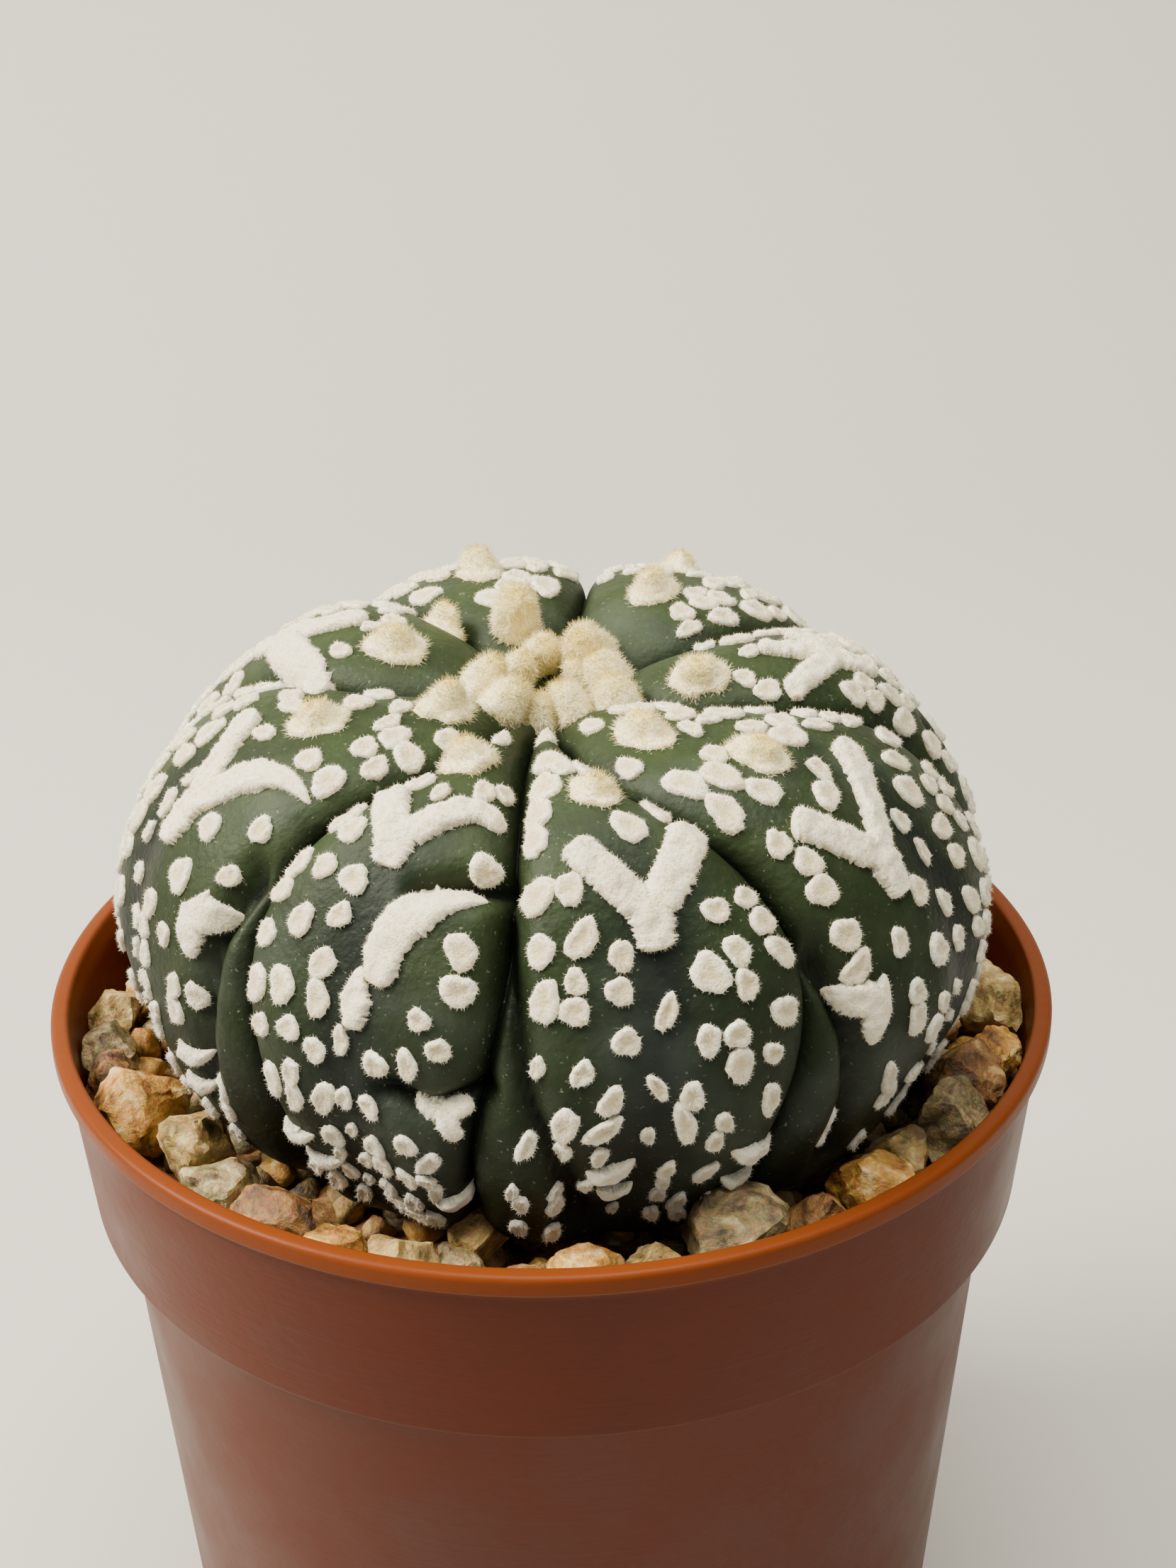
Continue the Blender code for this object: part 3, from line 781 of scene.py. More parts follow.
# Painted shade darkens the skin low down, along the channels and in the grooves and folds; the bloom and
# the specks are its own colour.
for share, colour in (
    (lowness, "#0d1209"),
    (channel, "#0f1513"),
    (bloom_share.outputs[0], "#474f48"),
    (groove, "#070c04"),
    (speck_share.outputs[0], "#a7ab93"),
):
    tinted = add(
        tree, "ShaderNodeMix", {7: linear(colour)}, {0: share, 6: skin_colour}, data_type="RGBA"
    )
    skin_colour = tinted.outputs[2]
pores = add(tree, "ShaderNodeTexNoise", {"Scale": 1 / PORE_SPACING, "Detail": 3.0}, {"Vector": place})
bump = add(
    tree, "ShaderNodeBump", {"Strength": 0.6, "Distance": 0.0002}, {"Height": pores.outputs["Fac"]}
)
tree.links.new(skin_colour, shader.inputs["Base Color"])
tree.links.new(bump.outputs[0], shader.inputs["Normal"])

rows = plant_rows()
turns = row_turns()
grid_down, grid_turn = np.meshgrid(rows, turns, indexing="ij")
ring_points = skin(grid_down, grid_turn)
columns = len(turns)
vertices = [Vector(skin(0.0, 0.0))] + [Vector(point) for point in ring_points.reshape(-1, 3)]
vertices.append(Vector(skin(SKIN_LENGTH, 0.0)))
faces = []
for i in range(len(rows)):
    for k in range(columns):
        m = (k + 1) % columns
        here, beside = 1 + i * columns + k, 1 + i * columns + m
        if i == 0:
            faces.append((0, here, beside))
        if i < len(rows) - 1:
            faces.append((here, here + columns, beside + columns, beside))
        else:
            faces.append((here, len(vertices) - 1, beside))
body = new_piece("cactus_body", vertices, faces, cactus_epidermis)

bearing, across, width = bearing_of(grid_down, grid_turn)
radius = np.interp(grid_down, DOWN_SKIN, OUTLINE_RADIUS)
from_line = np.abs(across - 0.5) * width * radius
from_groove = np.minimum(across, 1 - across) * width * radius
# Painted shade on the skin: along the channels, low down, and in the grooves and folds.
painted_shades = {
    "channel": 0.9
    * np.exp(-((from_line / CHANNEL_SHADE_WIDTH) ** 2))
    * ease(*CHANNEL_SHADE_START, grid_down),
    "lowness": ease(*LOW_SHADE_START, grid_down) * 0.85,
    "groove": np.maximum(
        np.exp(-from_groove / GROOVE_SHADE_WIDTH) * ease(*GROOVE_SHADE_START, grid_down) * 0.9,
        fold_share(bearing, grid_down, radius) ** 1.5 * 0.9,
    ),
}
for name, values in painted_shades.items():
    add_layer(body, name, np.concatenate(((0.0,), values.ravel(), (0.0,))))
fit(body, "cactus_skin", "cactus")


# ---------------------------------------------------------------------------------------------
# The chevrons, leaves and crescents: broad bands of white felt that grow on the skin, 0.75 mm
# thick with a ragged edge. Most ribs carry a forked one that opens towards the crown.
# ---------------------------------------------------------------------------------------------
FELT_THICKNESS = 0.75 * MM
FELT_SINK = 0.25 * MM
BAND_STATIONS = 36
BAND_COLUMNS = 10
RAGGED = 0.34
BLUNT_END = 0.16
BAND_SLIMNESS = 0.82
BAND_HEART = 0.3
LUMPS_PER_METRE = (1100.0, 450.0)
LUMP_SHARES = (0.35, 0.3)
# Painted shade that greys the felt low on the plant.
FELT_SHADE_START_MM = 36
FELT_SHADE_END_MM = 62
FELT_SHADE_MOST = 0.5
HAIR_CLUMP = 0.4545 * MM
FUZZ_LENGTH = 0.30 * MM
FUZZ_RADIUS = 0.015 * MM
FUZZ_PER_SQUARE_METRE = 4.0e7
RIBS_PER_PIECE = 2

# Each band: its width in millimetres, how sharply its start and its end narrow (0 is blunt and
# round, 1 comes to a point), and its line of bearing and distance down the skin.
FELT_BANDS = (
    (3.9, 0.1, 0.0, ((-88.5, 29.5), (-82.5, 33), (-77.5, 36.5))),
    (4.3, 0.0, 0.0, ((-67.5, 29), (-71.5, 32.5), (-77.3, 36.5))),
    (4.7, 0.0, 0.3, ((-77.5, 34.5), (-77.3, 37), (-77, 39.5))),
    (3.9, 0.0, 0.0, ((-121.5, 25.8), (-118.5, 28.5), (-115, 31.3))),
    (3.3, 0.6, 0.0, ((-98.3, 28.6), (-103.5, 26.8), (-109, 28), (-114.5, 31))),
    (4.2, 0.0, 0.3, ((-115, 29.5), (-115.2, 31.5), (-115.5, 33.5))),
    (4.8, 0.2, 1.0, ((-113.2, 42.4), (-112.6, 38.5), (-109, 35.6), (-104, 34.4), (-99, 34.2))),
    (3.4, 0.0, 0.0, ((-165.5, 26.5), (-159, 31), (-155.5, 35.5))),
    (3.9, 0.9, 0.0, ((-133.5, 30), (-140, 28.7), (-147, 30), (-152, 32.5), (-156, 36))),
    (4.2, 0.0, 0.3, ((-155.5, 34), (-156, 37), (-156.5, 39.5))),
    (3.4, 0.2, 0.0, ((157, 17.5), (163, 22), (162, 27))),
    (5.2, 0.7, 0.0, ((198, 22), (186, 21.5), (173, 23.5), (162, 27))),
    (4.2, 0.0, 0.3, ((163, 25), (162, 27.5), (161, 30))),
    (3.6, 0.0, 0.0, ((-52, 31.8), (-46.5, 34), (-40.5, 38))),
    (3.4, 0.0, 0.0, ((-29.5, 28), (-32, 31), (-36, 34.5), (-40, 38))),
    (4.2, 0.0, 0.3, ((-40.5, 36), (-40, 38.5), (-39.5, 41.5))),
    (2.8, 0.3, 0.0, ((-3, 18.5), (-1.5, 22), (2, 26))),
    (3.0, 0.2, 0.0, ((-18.5, 22), (-9, 23.5), (2, 26))),
    (2.6, 0.4, 0.0, ((10, 22), (6, 24), (2, 26))),
    (3.8, 0.0, 0.4, ((0, 24.5), (3, 27.5), (5, 31))),
    (3.6, 0.1, 0.0, ((47, 28), (54, 31.5), (60, 35.5))),
    (3.6, 0.0, 0.0, ((73, 27.5), (66.5, 31), (60, 35.5))),
    (4.3, 0.0, 0.3, ((60, 33.5), (60, 36), (60, 39))),
    (3.7, 0.1, 0.0, ((95, 29), (100, 32), (105, 36))),
    (3.5, 0.5, 0.0, ((118, 28), (112, 31), (105, 36))),
    (4.3, 0.0, 0.3, ((105, 34), (105, 36.5), (105, 39.5))),
    (3.6, 0.9, 0.5, ((-115.6, 40.3), (-115.5, 43), (-115.3, 45.3))),
    (4.6, 0.9, 0.7, ((-138.3, 40.3), (-143.5, 42.2), (-145.5, 41))),
    (3.4, 0.3, 0.8, ((-144.8, 41), (-144, 43.5), (-142.8, 46))),
    (3.8, 0.9, 0.5, ((-54, 44.8), (-50, 46.5), (-47.5, 47.5))),
    (3.0, 0.9, 0.9, ((-46.2, 44.8), (-49, 47.5), (-49.7, 50.8))),
    (2.6, 0.6, 0.6, ((-108.3, 48.6), (-104.5, 50.2), (-100.3, 49.2))),
    (2.4, 0.8, 0.8, ((-105, 49), (-103.5, 50.5), (-102.2, 52.6))),
    (2.9, 0.9, 0.9, ((-88, 54), (-84.3, 55.6), (-80.8, 53.8))),
    (2.3, 0.9, 0.9, ((-86.5, 56.8), (-83.8, 58.2), (-81, 56.8))),
    (2.6, 0.9, 0.9, ((-70.5, 54.3), (-67, 56), (-62.8, 55.6))),
    (2.2, 0.9, 0.9, ((-71, 57.4), (-68, 59.2), (-64.8, 58.6))),
    (2.0, 0.9, 0.9, ((-106.5, 58.8), (-104, 60), (-101.5, 59))),
    (2.0, 0.9, 0.9, ((-127.5, 55.4), (-124.5, 56.4), (-121, 55))),
    (2.0, 0.9, 0.9, ((-125, 57.8), (-121.5, 58.8), (-117.8, 57.2))),
)
PLAIN_RIB_CRESCENTS_DOWN_MM = (54.5, 57.5)

# Felted trichomes: each scale is a mat of fine white hairs. Dry, soft and matt, warm white with
# a straw tint where it is thick, and greyed with painted shade low on the plant. Single hairs are too fine
# to show, so the felt is drawn in clumps of half a millimetre.
white_felt, tree, shader = new_material(
    "white_felt", Roughness=0.95, Specular_IOR_Level=0.15, Sheen_Weight=0.35, Sheen_Roughness=0.6
)
place = add(tree, "ShaderNodeTexCoord").outputs["Object"]
warmth = add(tree, "ShaderNodeAttribute", attribute_name="warmth").outputs["Fac"]
dusk = add(tree, "ShaderNodeAttribute", attribute_name="dusk").outputs["Fac"]
heart = add(tree, "ShaderNodeAttribute", attribute_name="heart").outputs["Fac"]
fluff = add(
    tree,
    "ShaderNodeTexNoise",
    {"Scale": 1 / HAIR_CLUMP, "Detail": 4.0, "Roughness": 0.7},
    {"Vector": place},
)
felt_white = add(
    tree,
    "ShaderNodeValToRGB",
    links={0: fluff.outputs["Fac"]},
    stops=((0.32, "#cdbd8c"), (0.45, "#f6edcc"), (0.6, "#fffce8")),
)
felt_colour = felt_white.outputs[0]
# Painted shade greys the felt low on the plant; the heart and warmth tints are its own colour.
for share, colour in ((heart, "#c4ad72"), (warmth, "#dfcb9c"), (dusk, "#a9a8a2")):
    tinted = add(
        tree, "ShaderNodeMix", {7: linear(colour)}, {0: share, 6: felt_colour}, data_type="RGBA"
    )
    felt_colour = tinted.outputs[2]
bump = add(
    tree, "ShaderNodeBump", {"Strength": 0.9, "Distance": 0.0003}, {"Height": fluff.outputs["Fac"]}
)
tree.links.new(felt_colour, shader.inputs["Base Color"])
tree.links.new(bump.outputs[0], shader.inputs["Normal"])


def spot(bearing, down_mm):
    """Places on the skin from bearings in degrees and distances down it in millimetres."""
    down = np.asarray(down_mm, float) * MM
    return down, turn_at(np.radians(bearing), down)


def felt_shade_at(down_mm):
    """How much painted shade greys the felt at a distance down the skin."""
    return ease(FELT_SHADE_START_MM, FELT_SHADE_END_MM, down_mm) * FELT_SHADE_MOST


def band_line(points):
    """Evenly spaced places along a band's line, smoothed through its points."""
    line = np.array(points, float)
    reach = np.linspace(0, len(line) - 1, BAND_STATIONS)
    window = 0.5
    return np.stack(
        [
            sum(
                np.interp(np.clip(reach + shift, 0, len(line) - 1), np.arange(len(line)), line[:, axis])
                for shift in (-window, -window / 2, 0, window / 2, window)
            )
            / 5
            for axis in (0, 1)
        ],
        1,
    )


def band_shape(number, width_mm, start_point, end_point, points):
    """Vertices, faces and vertex layers of one felt band on the skin, closed underneath."""
    line = band_line(points)
    radius = np.interp(line[:, 1] * MM, DOWN_SKIN, OUTLINE_RADIUS) / MM
    aside = np.radians(line[:, 0] - line[:, 0].mean())
    track = np.stack((aside * radius, line[:, 1]), 1)
    ahead = np.gradient(track, axis=0)
    ahead /= np.linalg.norm(ahead, axis=1)[:, None]
    side = np.stack((-ahead[:, 1], ahead[:, 0]), 1)
    from_end = np.minimum(np.linspace(0, 1, BAND_STATIONS), np.linspace(1, 0, BAND_STATIONS))
    blunt = np.sqrt(1 - (1 - np.minimum(from_end / BLUNT_END, 1)) ** 2)
    sharp = np.minimum(1.0, 0.04 + 1.9 * from_end) * np.sqrt(blunt)
    point = np.where(np.arange(BAND_STATIONS) < BAND_STATIONS / 2, start_point, end_point)
    full = np.maximum(blunt * (1 - point) + sharp * point, 0.02)
    v = np.linspace(-1, 1, BAND_COLUMNS + 1)
    ragged = [
        [noise.noise(Vector((i * 0.9, number * 7.3, place * 40.0))) for place in v]
        for i in range(BAND_STATIONS)
    ]
    half = width_mm / 2 * BAND_SLIMNESS * full[:, None]
    offset = v * half * (1 + np.array(ragged) * RAGGED * np.abs(v))
    bearing = line[:, :1] + np.degrees(offset * side[:, :1] / radius[:, None])
    down_mm = line[:, 1:] + offset * side[:, 1:]
    here, out, _ = skin_frames(*spot(bearing, down_mm))
    rise = np.sqrt(1 - v**4) * np.minimum(1.0, full * 1.6)[:, None]
    lumps = np.array(
        [
            sum(noise.noise(Vector(point) * k) * share for k, share in zip(LUMPS_PER_METRE, LUMP_SHARES))
            for point in here.reshape(-1, 3)
        ]
    ).reshape(rise.shape)
    lift = FELT_THICKNESS * rise * (1 + lumps)
    lift[:, [0, -1]] = -FELT_SINK
    lift[[0, -1]] = -FELT_SINK
    shape_vertices = list((here + out * lift[..., None]).reshape(-1, 3))
    # Painted shade: the band is greyed lower down the skin.
    felt_shades = list(felt_shade_at(down_mm).ravel())
    hearts = list(np.tile(BAND_HEART * (1 - v**2), BAND_STATIONS))
    fringes = list(np.tile(0.2 + 0.8 * np.abs(v) ** 2, BAND_STATIONS))
    shape_faces = []
    across_count = BAND_COLUMNS + 1
    for i in range(BAND_STATIONS - 1):
        for k in range(BAND_COLUMNS):
            a = i * across_count + k
            shape_faces.append((a, a + across_count, a + across_count + 1, a + 1))
        left, right = i * across_count, i * across_count + BAND_COLUMNS
        shape_faces.append((left, right, right + across_count, left + across_count))
    for i in (0, BAND_STATIONS - 1):
        end_loop = [i * across_count + k for k in range(across_count)]
        shape_faces.append(tuple(end_loop if i == 0 else reversed(end_loop)))
    return shape_vertices, shape_faces, {"dusk": felt_shades, "heart": hearts, "fringe": fringes}


def new_tree(name, inputs):
    """Geometry Nodes tree with a Geometry input and output and the named inputs given."""
    nodes = bpy.data.node_groups.new(name, "GeometryNodeTree")
    nodes.interface.new_socket("Geometry", in_out="INPUT", socket_type="NodeSocketGeometry")
    for socket, kind in inputs:
        nodes.interface.new_socket(socket, in_out="INPUT", socket_type=kind)
    nodes.interface.new_socket("Geometry", in_out="OUTPUT", socket_type="NodeSocketGeometry")
    return nodes


def grow(piece, nodes, values):
    """Runs a Geometry Nodes tree on a piece with its inputs set, and keeps the plain mesh."""
    modifier = piece.modifiers.new(nodes.name, "NODES")
    modifier.node_group = nodes
    for socket in nodes.interface.items_tree:
        if socket.in_out == "INPUT" and socket.name in values:
            modifier[socket.identifier] = values[socket.name]
    return solid_mesh(piece)


# Strews thin cones over a surface, thickest where its fringe layer is 1 and each leaning off the
# normal by chance, and keeps the surface.
bristle = new_tree(
    "bristle_hairs",
    (
        ("Density", "NodeSocketFloat"),
        ("Length", "NodeSocketFloat"),
        ("Radius", "NodeSocketFloat"),
        ("Lean", "NodeSocketFloat"),
        ("Material", "NodeSocketMaterial"),
    ),
)
given = add(bristle, "NodeGroupInput")
fringe = add(bristle, "GeometryNodeInputNamedAttribute", {0: "fringe"}, data_type="FLOAT")
thickness = add(
    bristle,
    "ShaderNodeMath",
    links={0: fringe.outputs[0], 1: given.outputs["Density"]},
    operation="MULTIPLY",
)
strewn = add(
    bristle,
    "GeometryNodeDistributePointsOnFaces",
    {"Seed": 5},
    {"Mesh": given.outputs["Geometry"], "Density": thickness.outputs[0]},
)
cone = add(
    bristle,
    "GeometryNodeMeshCone",
    {"Vertices": 3, "Radius Top": 0.0, "Side Segments": 1},
    {"Radius Bottom": given.outputs["Radius"], "Depth": given.outputs["Length"]},
)
half_lean = add(bristle, "ShaderNodeMath", {1: -1.0}, {0: given.outputs["Lean"]}, operation="MULTIPLY")
chance = add(
    bristle,
    "FunctionNodeRandomValue",
    {"Seed": 3},
    {0: half_lean.outputs[0], 1: given.outputs["Lean"]},
    data_type="FLOAT_VECTOR",
)
leaned = add(
    bristle,
    "FunctionNodeRotateRotation",
    links={0: strewn.outputs["Rotation"], 1: chance.outputs[0]},
    rotation_space="LOCAL",
)
length_chance = add(bristle, "FunctionNodeRandomValue", {2: 0.55, 3: 1.25, "Seed": 8}, data_type="FLOAT")
hairs = add(
    bristle,
    "GeometryNodeInstanceOnPoints",
    links={
        "Points": strewn.outputs["Points"],
        "Instance": cone.outputs["Mesh"],
        "Rotation": leaned.outputs[0],
        "Scale": length_chance.outputs[1],
    },
)
real = add(bristle, "GeometryNodeRealizeInstances", links={0: hairs.outputs[0]})
joined = add(bristle, "GeometryNodeJoinGeometry")
bristle.links.new(real.outputs[0], joined.inputs[0])
bristle.links.new(given.outputs["Geometry"], joined.inputs[0])
woolly = add(
    bristle,
    "GeometryNodeSetMaterial",
    links={0: joined.outputs[0], "Material": given.outputs["Material"]},
)
add(bristle, "NodeGroupOutput", links={0: woolly.outputs[0]})
bands = list(FELT_BANDS)
for rib in range(2, 7):
    for down_mm in PLAIN_RIB_CRESCENTS_DOWN_MM:
        lines = np.degrees(groove_lines(np.array(down_mm * MM))[rib : rib + 2])
        for share in (0.24, 0.76):
            middle = lines[0] + (lines[1] - lines[0]) * share
            line = [(middle + x, down_mm + y) for x, y in ((-3.2, -1), (0, 0.3), (3.2, -1))]
            bands.append((2.2, 0.9, 0.9, line))
fuzz = {
    "Density": FUZZ_PER_SQUARE_METRE,
    "Length": FUZZ_LENGTH,
    "Radius": FUZZ_RADIUS,
    "Lean": 0.9,
    "Material": white_felt,
}
band_lines = [np.array(band[3], float).mean(0) for band in bands]
band_ribs = [int(turn_at(np.radians([b]), np.array([d * MM]))[0]) % RIB_COUNT for b, d in band_lines]
band_points = []
# Two neighbouring ribs share a piece, so that no piece grows too heavy.
for part in range(RIB_COUNT // RIBS_PER_PIECE):
    vertices, faces, layers = [], [], {"dusk": [], "heart": [], "fringe": []}
    for number, band in enumerate(bands):
        if band_ribs[number] // RIBS_PER_PIECE != part:
            continue
        more_vertices, more_faces, more_layers = band_shape(number, *band)
        faces += [tuple(len(vertices) + i for i in face) for face in more_faces]
        vertices += more_vertices
        for name, values in more_layers.items():
            layers[name] += values
    band_points += vertices
    felt_bands = new_piece(f"felt_chevrons_{part + 1}", vertices, faces, white_felt)
    face_outwards(felt_bands)
    for name, values in layers.items():
        add_layer(felt_bands, name, values)
    add_layer(felt_bands, "warmth", [0.08] * len(vertices))
    grow(felt_bands, bristle, fuzz)
    fit(felt_bands, "white_fleck")
band_tree = KDTree(len(band_points))
for i, point in enumerate(band_points):
    band_tree.insert(point, i)
band_tree.balance()

# ---------------------------------------------------------------------------------------------
# The flecks: small scales of white felt, mostly 2 to 3 mm across and half a millimetre thick. They grow
# in rows that fan out from each areole line and run down the rib, some in touching chains.
# ---------------------------------------------------------------------------------------------
FLECK_SHAPES = 12
FLECK_SECTORS = 18
FLECK_RINGS = (0.45, 0.80, 0.98)
FLECK_RISES = (0.70, 1.0, 0.60)
FLECK_HEARTS = (0.60, 0.12, 0.0)
FLECK_FRINGES = (0.15, 0.8, 1.0)
FLECK_THICKNESS = 0.48 * MM
FLECK_ROWS = 7
FIRST_FLECK_MM = 12.5
LAST_FLECK_MM = 62.0
AREOLE_LINE_SHARE = 0.09
LOW_FLECKS = 45 * MM
HIGH_SPREAD = 0.88
LOW_SPREAD = 0.8
GROOVE_MARGIN = 1.12
CROWN_MARGIN = 1.6
CROWN_EDGE = 19 * MM
FOLD_MARGIN = 0.4
CLOSEST_FLECKS = 0.86
DRAPE_REACH = 12 * MM
rng = random.Random(41)


def fleck_shape(index):
    """One ragged scale of unit radius, lying on XY, with its rise stored for each vertex."""
    draw = random.Random(500 + index)
    stretch = draw.uniform(0.82, 1.0)
    phase = [draw.uniform(0, math.tau) for _ in range(3)]
    outline = []
    for k in range(FLECK_SECTORS):
        angle = math.tau * k / FLECK_SECTORS
        wave = 0.09 * math.cos(2 * angle + phase[0]) + 0.08 * math.cos(3 * angle + phase[1])
        tooth = draw.uniform(-0.08, 0.08)
        outline.append((angle, 1 + wave + tooth))
    fleck_vertices, rises = [(0.0, 0.0, 0.0)], [draw.uniform(0.35, 0.7)]
    hearts, fringes = [0.85], [0.1]
    for share, rise, *shares in zip(FLECK_RINGS, FLECK_RISES, FLECK_HEARTS, FLECK_FRINGES):
        for angle, reach in outline:
            jitter = draw.uniform(-0.04, 0.04)
            size = (share + jitter) * reach
            fleck_vertices.append((size * math.cos(angle), size * math.sin(angle) * stretch, 0.0))
            rises.append(rise * draw.uniform(0.75, 1.2))
            hearts.append(shares[0])
            fringes.append(shares[1])
    for angle, reach in outline:
        x, y = reach * math.cos(angle), reach * math.sin(angle) * stretch
        fleck_vertices.append((1.02 * x, 1.02 * y, 0.0))
        rises.append(-0.4)
        hearts.append(0.0)
        fringes.append(0.0)
    rim = len(FLECK_RINGS) * FLECK_SECTORS
    fleck_faces = []
    for k in range(FLECK_SECTORS):
        m = (k + 1) % FLECK_SECTORS
        fleck_faces.append((0, 1 + k, 1 + m))
        for ring in range(len(FLECK_RINGS)):
            a, b = 1 + ring * FLECK_SECTORS, 1 + (ring + 1) * FLECK_SECTORS
            fleck_faces.append((a + k, b + k, b + m, a + m))
    fleck_faces.append(tuple(1 + rim + k for k in reversed(range(FLECK_SECTORS))))
    shape = new_piece(f"fleck_shape_{index:02d}", fleck_vertices, fleck_faces, None)
    add_layer(shape, "rise", rises)
    add_layer(shape, "heart", hearts)
    add_layer(shape, "fringe", fringes)
    return shape


def near_band(point, clear):
    """Whether a point of the skin is close to a felt band."""
    return band_tree.find(point)[2] < clear


def fleck_places():
    """Every fleck: its rib, place across and down it, half length and half width."""
    places = []
    for rib in range(RIB_COUNT):
        for row in range(FLECK_ROWS):
            share = (row + 0.5) / FLECK_ROWS
            lean = rng.uniform(-0.012, 0.012)
            down = (FIRST_FLECK_MM + rng.uniform(0, 5)) * MM
            chain = 0
            while down < LAST_FLECK_MM * MM:
                middle = abs(share - 0.5) < AREOLE_LINE_SHARE
                spread = HIGH_SPREAD if down < LOW_FLECKS else LOW_SPREAD
                across = 0.5 + (share - 0.5) * spread + lean + rng.uniform(-0.02, 0.02)
                low = float(ease(40, 58, down / MM))
                size = rng.uniform(0.88, 1.36) * (1 - 0.38 * low) * (0.68 if middle else 1.0)
                length = size * (rng.uniform(1.0, 1.45) + (0.35 if middle or low > 0.5 else 0.0))
                places.append((rib, across, down, length * MM, size * MM))
                if chain > 0:
                    chain -= 1
                    down += (length + size * 0.9) * MM
                else:
                    chain = rng.choice((0, 0, 1, 1, 2)) if not middle else 0
                    down += (length * 2 + rng.uniform(0.4, 2.2)) * MM
    return places


# Wool tufts on the areoles: bearing, distance down the skin, length, width and height.
TUFTS_MM = (
    (113, 9.0, 4.6, 4.2, 4.6),
    (104, 5.0, 3.6, 3.6, 3.4),
    (39, 5.6, 4.6, 4.4, 4.8),
    (20, 3.4, 3.4, 3.4, 3.6),
    (-134, 14.0, 5.4, 4.2, 2.3),
    (-111, 20.7, 5.0, 4.4, 1.9),
    (176, 14.6, 5.6, 4.4, 2.2),
    (-150, 23.3, 5.4, 4.2, 1.8),
    (111, 18.6, 5.0, 4.2, 2.4),
    (142, 13.4, 4.6, 2.6, 2.4),
    (-63, 17.4, 6.0, 4.0, 2.0),
    (48, 15.0, 5.6, 4.2, 2.3),
    (-20, 14.6, 5.4, 4.0, 2.1),
    (-82, 24.3, 4.4, 4.0, 1.3),
    (-46.7, 25.6, 5.6, 4.0, 1.6),
    (58, 24.5, 5.2, 4.0, 1.8),
    (106, 27.0, 4.8, 4.0, 1.7),
    (-165, 7.0, 3.8, 3.8, 3.8),
    (-128, 8.0, 4.4, 4.0, 3.2),
    (-100, 5.0, 3.6, 3.4, 3.0),
    (-70, 6.0, 3.8, 3.6, 3.2),
    (-42, 8.0, 4.0, 3.8, 3.2),
    (-10, 6.0, 3.8, 3.6, 3.4),
    (150, 4.0, 3.4, 3.4, 3.4),
)
tuft_centres = []
for bearing, down_mm, length_mm, width_mm, _ in TUFTS_MM:
    centre = Vector(skin(*spot([bearing], [down_mm]))[0])
    tuft_centres.append((centre, max(length_mm, width_mm) / 2 * MM))

kept, flecks = [], [[] for _ in range(RIB_COUNT // RIBS_PER_PIECE)]
fleck_ribs, acrosses, fleck_downs, lengths, widths = np.array(fleck_places()).T
fleck_frames = skin_frames(fleck_downs, fleck_ribs + acrosses)
bearings, _, rib_widths = bearing_of(fleck_downs, fleck_ribs + acrosses)
fleck_radii = np.interp(fleck_downs, DOWN_SKIN, OUTLINE_RADIUS)
rib_widths *= fleck_radii
in_folds = fold_share(bearings, fleck_downs, fleck_radii) > FOLD_MARGIN
for i, rib_width in enumerate(rib_widths):
    across, down, length, size = acrosses[i], fleck_downs[i], lengths[i], widths[i]
    here, out, downhill = (Vector(part[i]) for part in fleck_frames)
    margin = size * (GROOVE_MARGIN if down > CROWN_EDGE else CROWN_MARGIN)
    if in_folds[i] or min(across, 1 - across) * rib_width < margin:
        continue
    if near_band(here, size * 0.8 + 0.2 * MM):
        continue
    if any((here - centre).length < reach + size * 0.8 for centre, reach in tuft_centres):
        continue
    if any((here - other).length < (size + other_size) * CLOSEST_FLECKS for other, other_size in kept):
        continue
    kept.append((here, size))
    twist = rng.gauss(0, 0.35) + (across - 0.5) * 0.9
    along = (Matrix.Rotation(twist, 3, out) @ downhill).normalized()
    kind = rng.randrange(FLECK_SHAPES)
    warmth_here = max(0.0, rng.gauss(0.12, 0.12)) * (1 - felt_shade_at(down / MM))
    # Painted shade: each fleck is greyed lower down the skin.
    felt_shade_here = min(1.0, felt_shade_at(down / MM) * rng.uniform(0.7, 1.3))
    fleck = (here, out, along, (length, size, 1.0), warmth_here, felt_shade_here, kind)
    flecks[int(fleck_ribs[i]) // RIBS_PER_PIECE].append(fleck)

fleck_store = bpy.data.collections.new("fleck_shapes")
for i in range(FLECK_SHAPES):
    shape = fleck_shape(i)
    bpy.context.scene.collection.objects.unlink(shape)
    fleck_store.objects.link(shape)


# Lays a shape from the store on each point, turned to the skin, then drapes it over the skin.
lay = new_tree(
    "lay_flecks",
    (
        ("Shapes", "NodeSocketCollection"),
        ("Skin", "NodeSocketObject"),
        ("Thickness", "NodeSocketFloat"),
        ("Drop", "NodeSocketFloat"),
        ("Material", "NodeSocketMaterial"),
    ),
)
given = add(lay, "NodeGroupInput")
out = add(lay, "GeometryNodeInputNamedAttribute", {0: "out"}, data_type="FLOAT_VECTOR")
downhill = add(lay, "GeometryNodeInputNamedAttribute", {0: "downhill"}, data_type="FLOAT_VECTOR")
size = add(lay, "GeometryNodeInputNamedAttribute", {0: "size"}, data_type="FLOAT_VECTOR")
kind = add(lay, "GeometryNodeInputNamedAttribute", {0: "kind"}, data_type="INT")
facing = add(
    lay,
    "FunctionNodeAxesToRotation",
    links={0: out.outputs[0], 1: downhill.outputs[0]},
    primary_axis="Z",
    secondary_axis="X",
)
store = add(
    lay, "GeometryNodeCollectionInfo", {"Separate Children": True}, {0: given.outputs["Shapes"]}
)
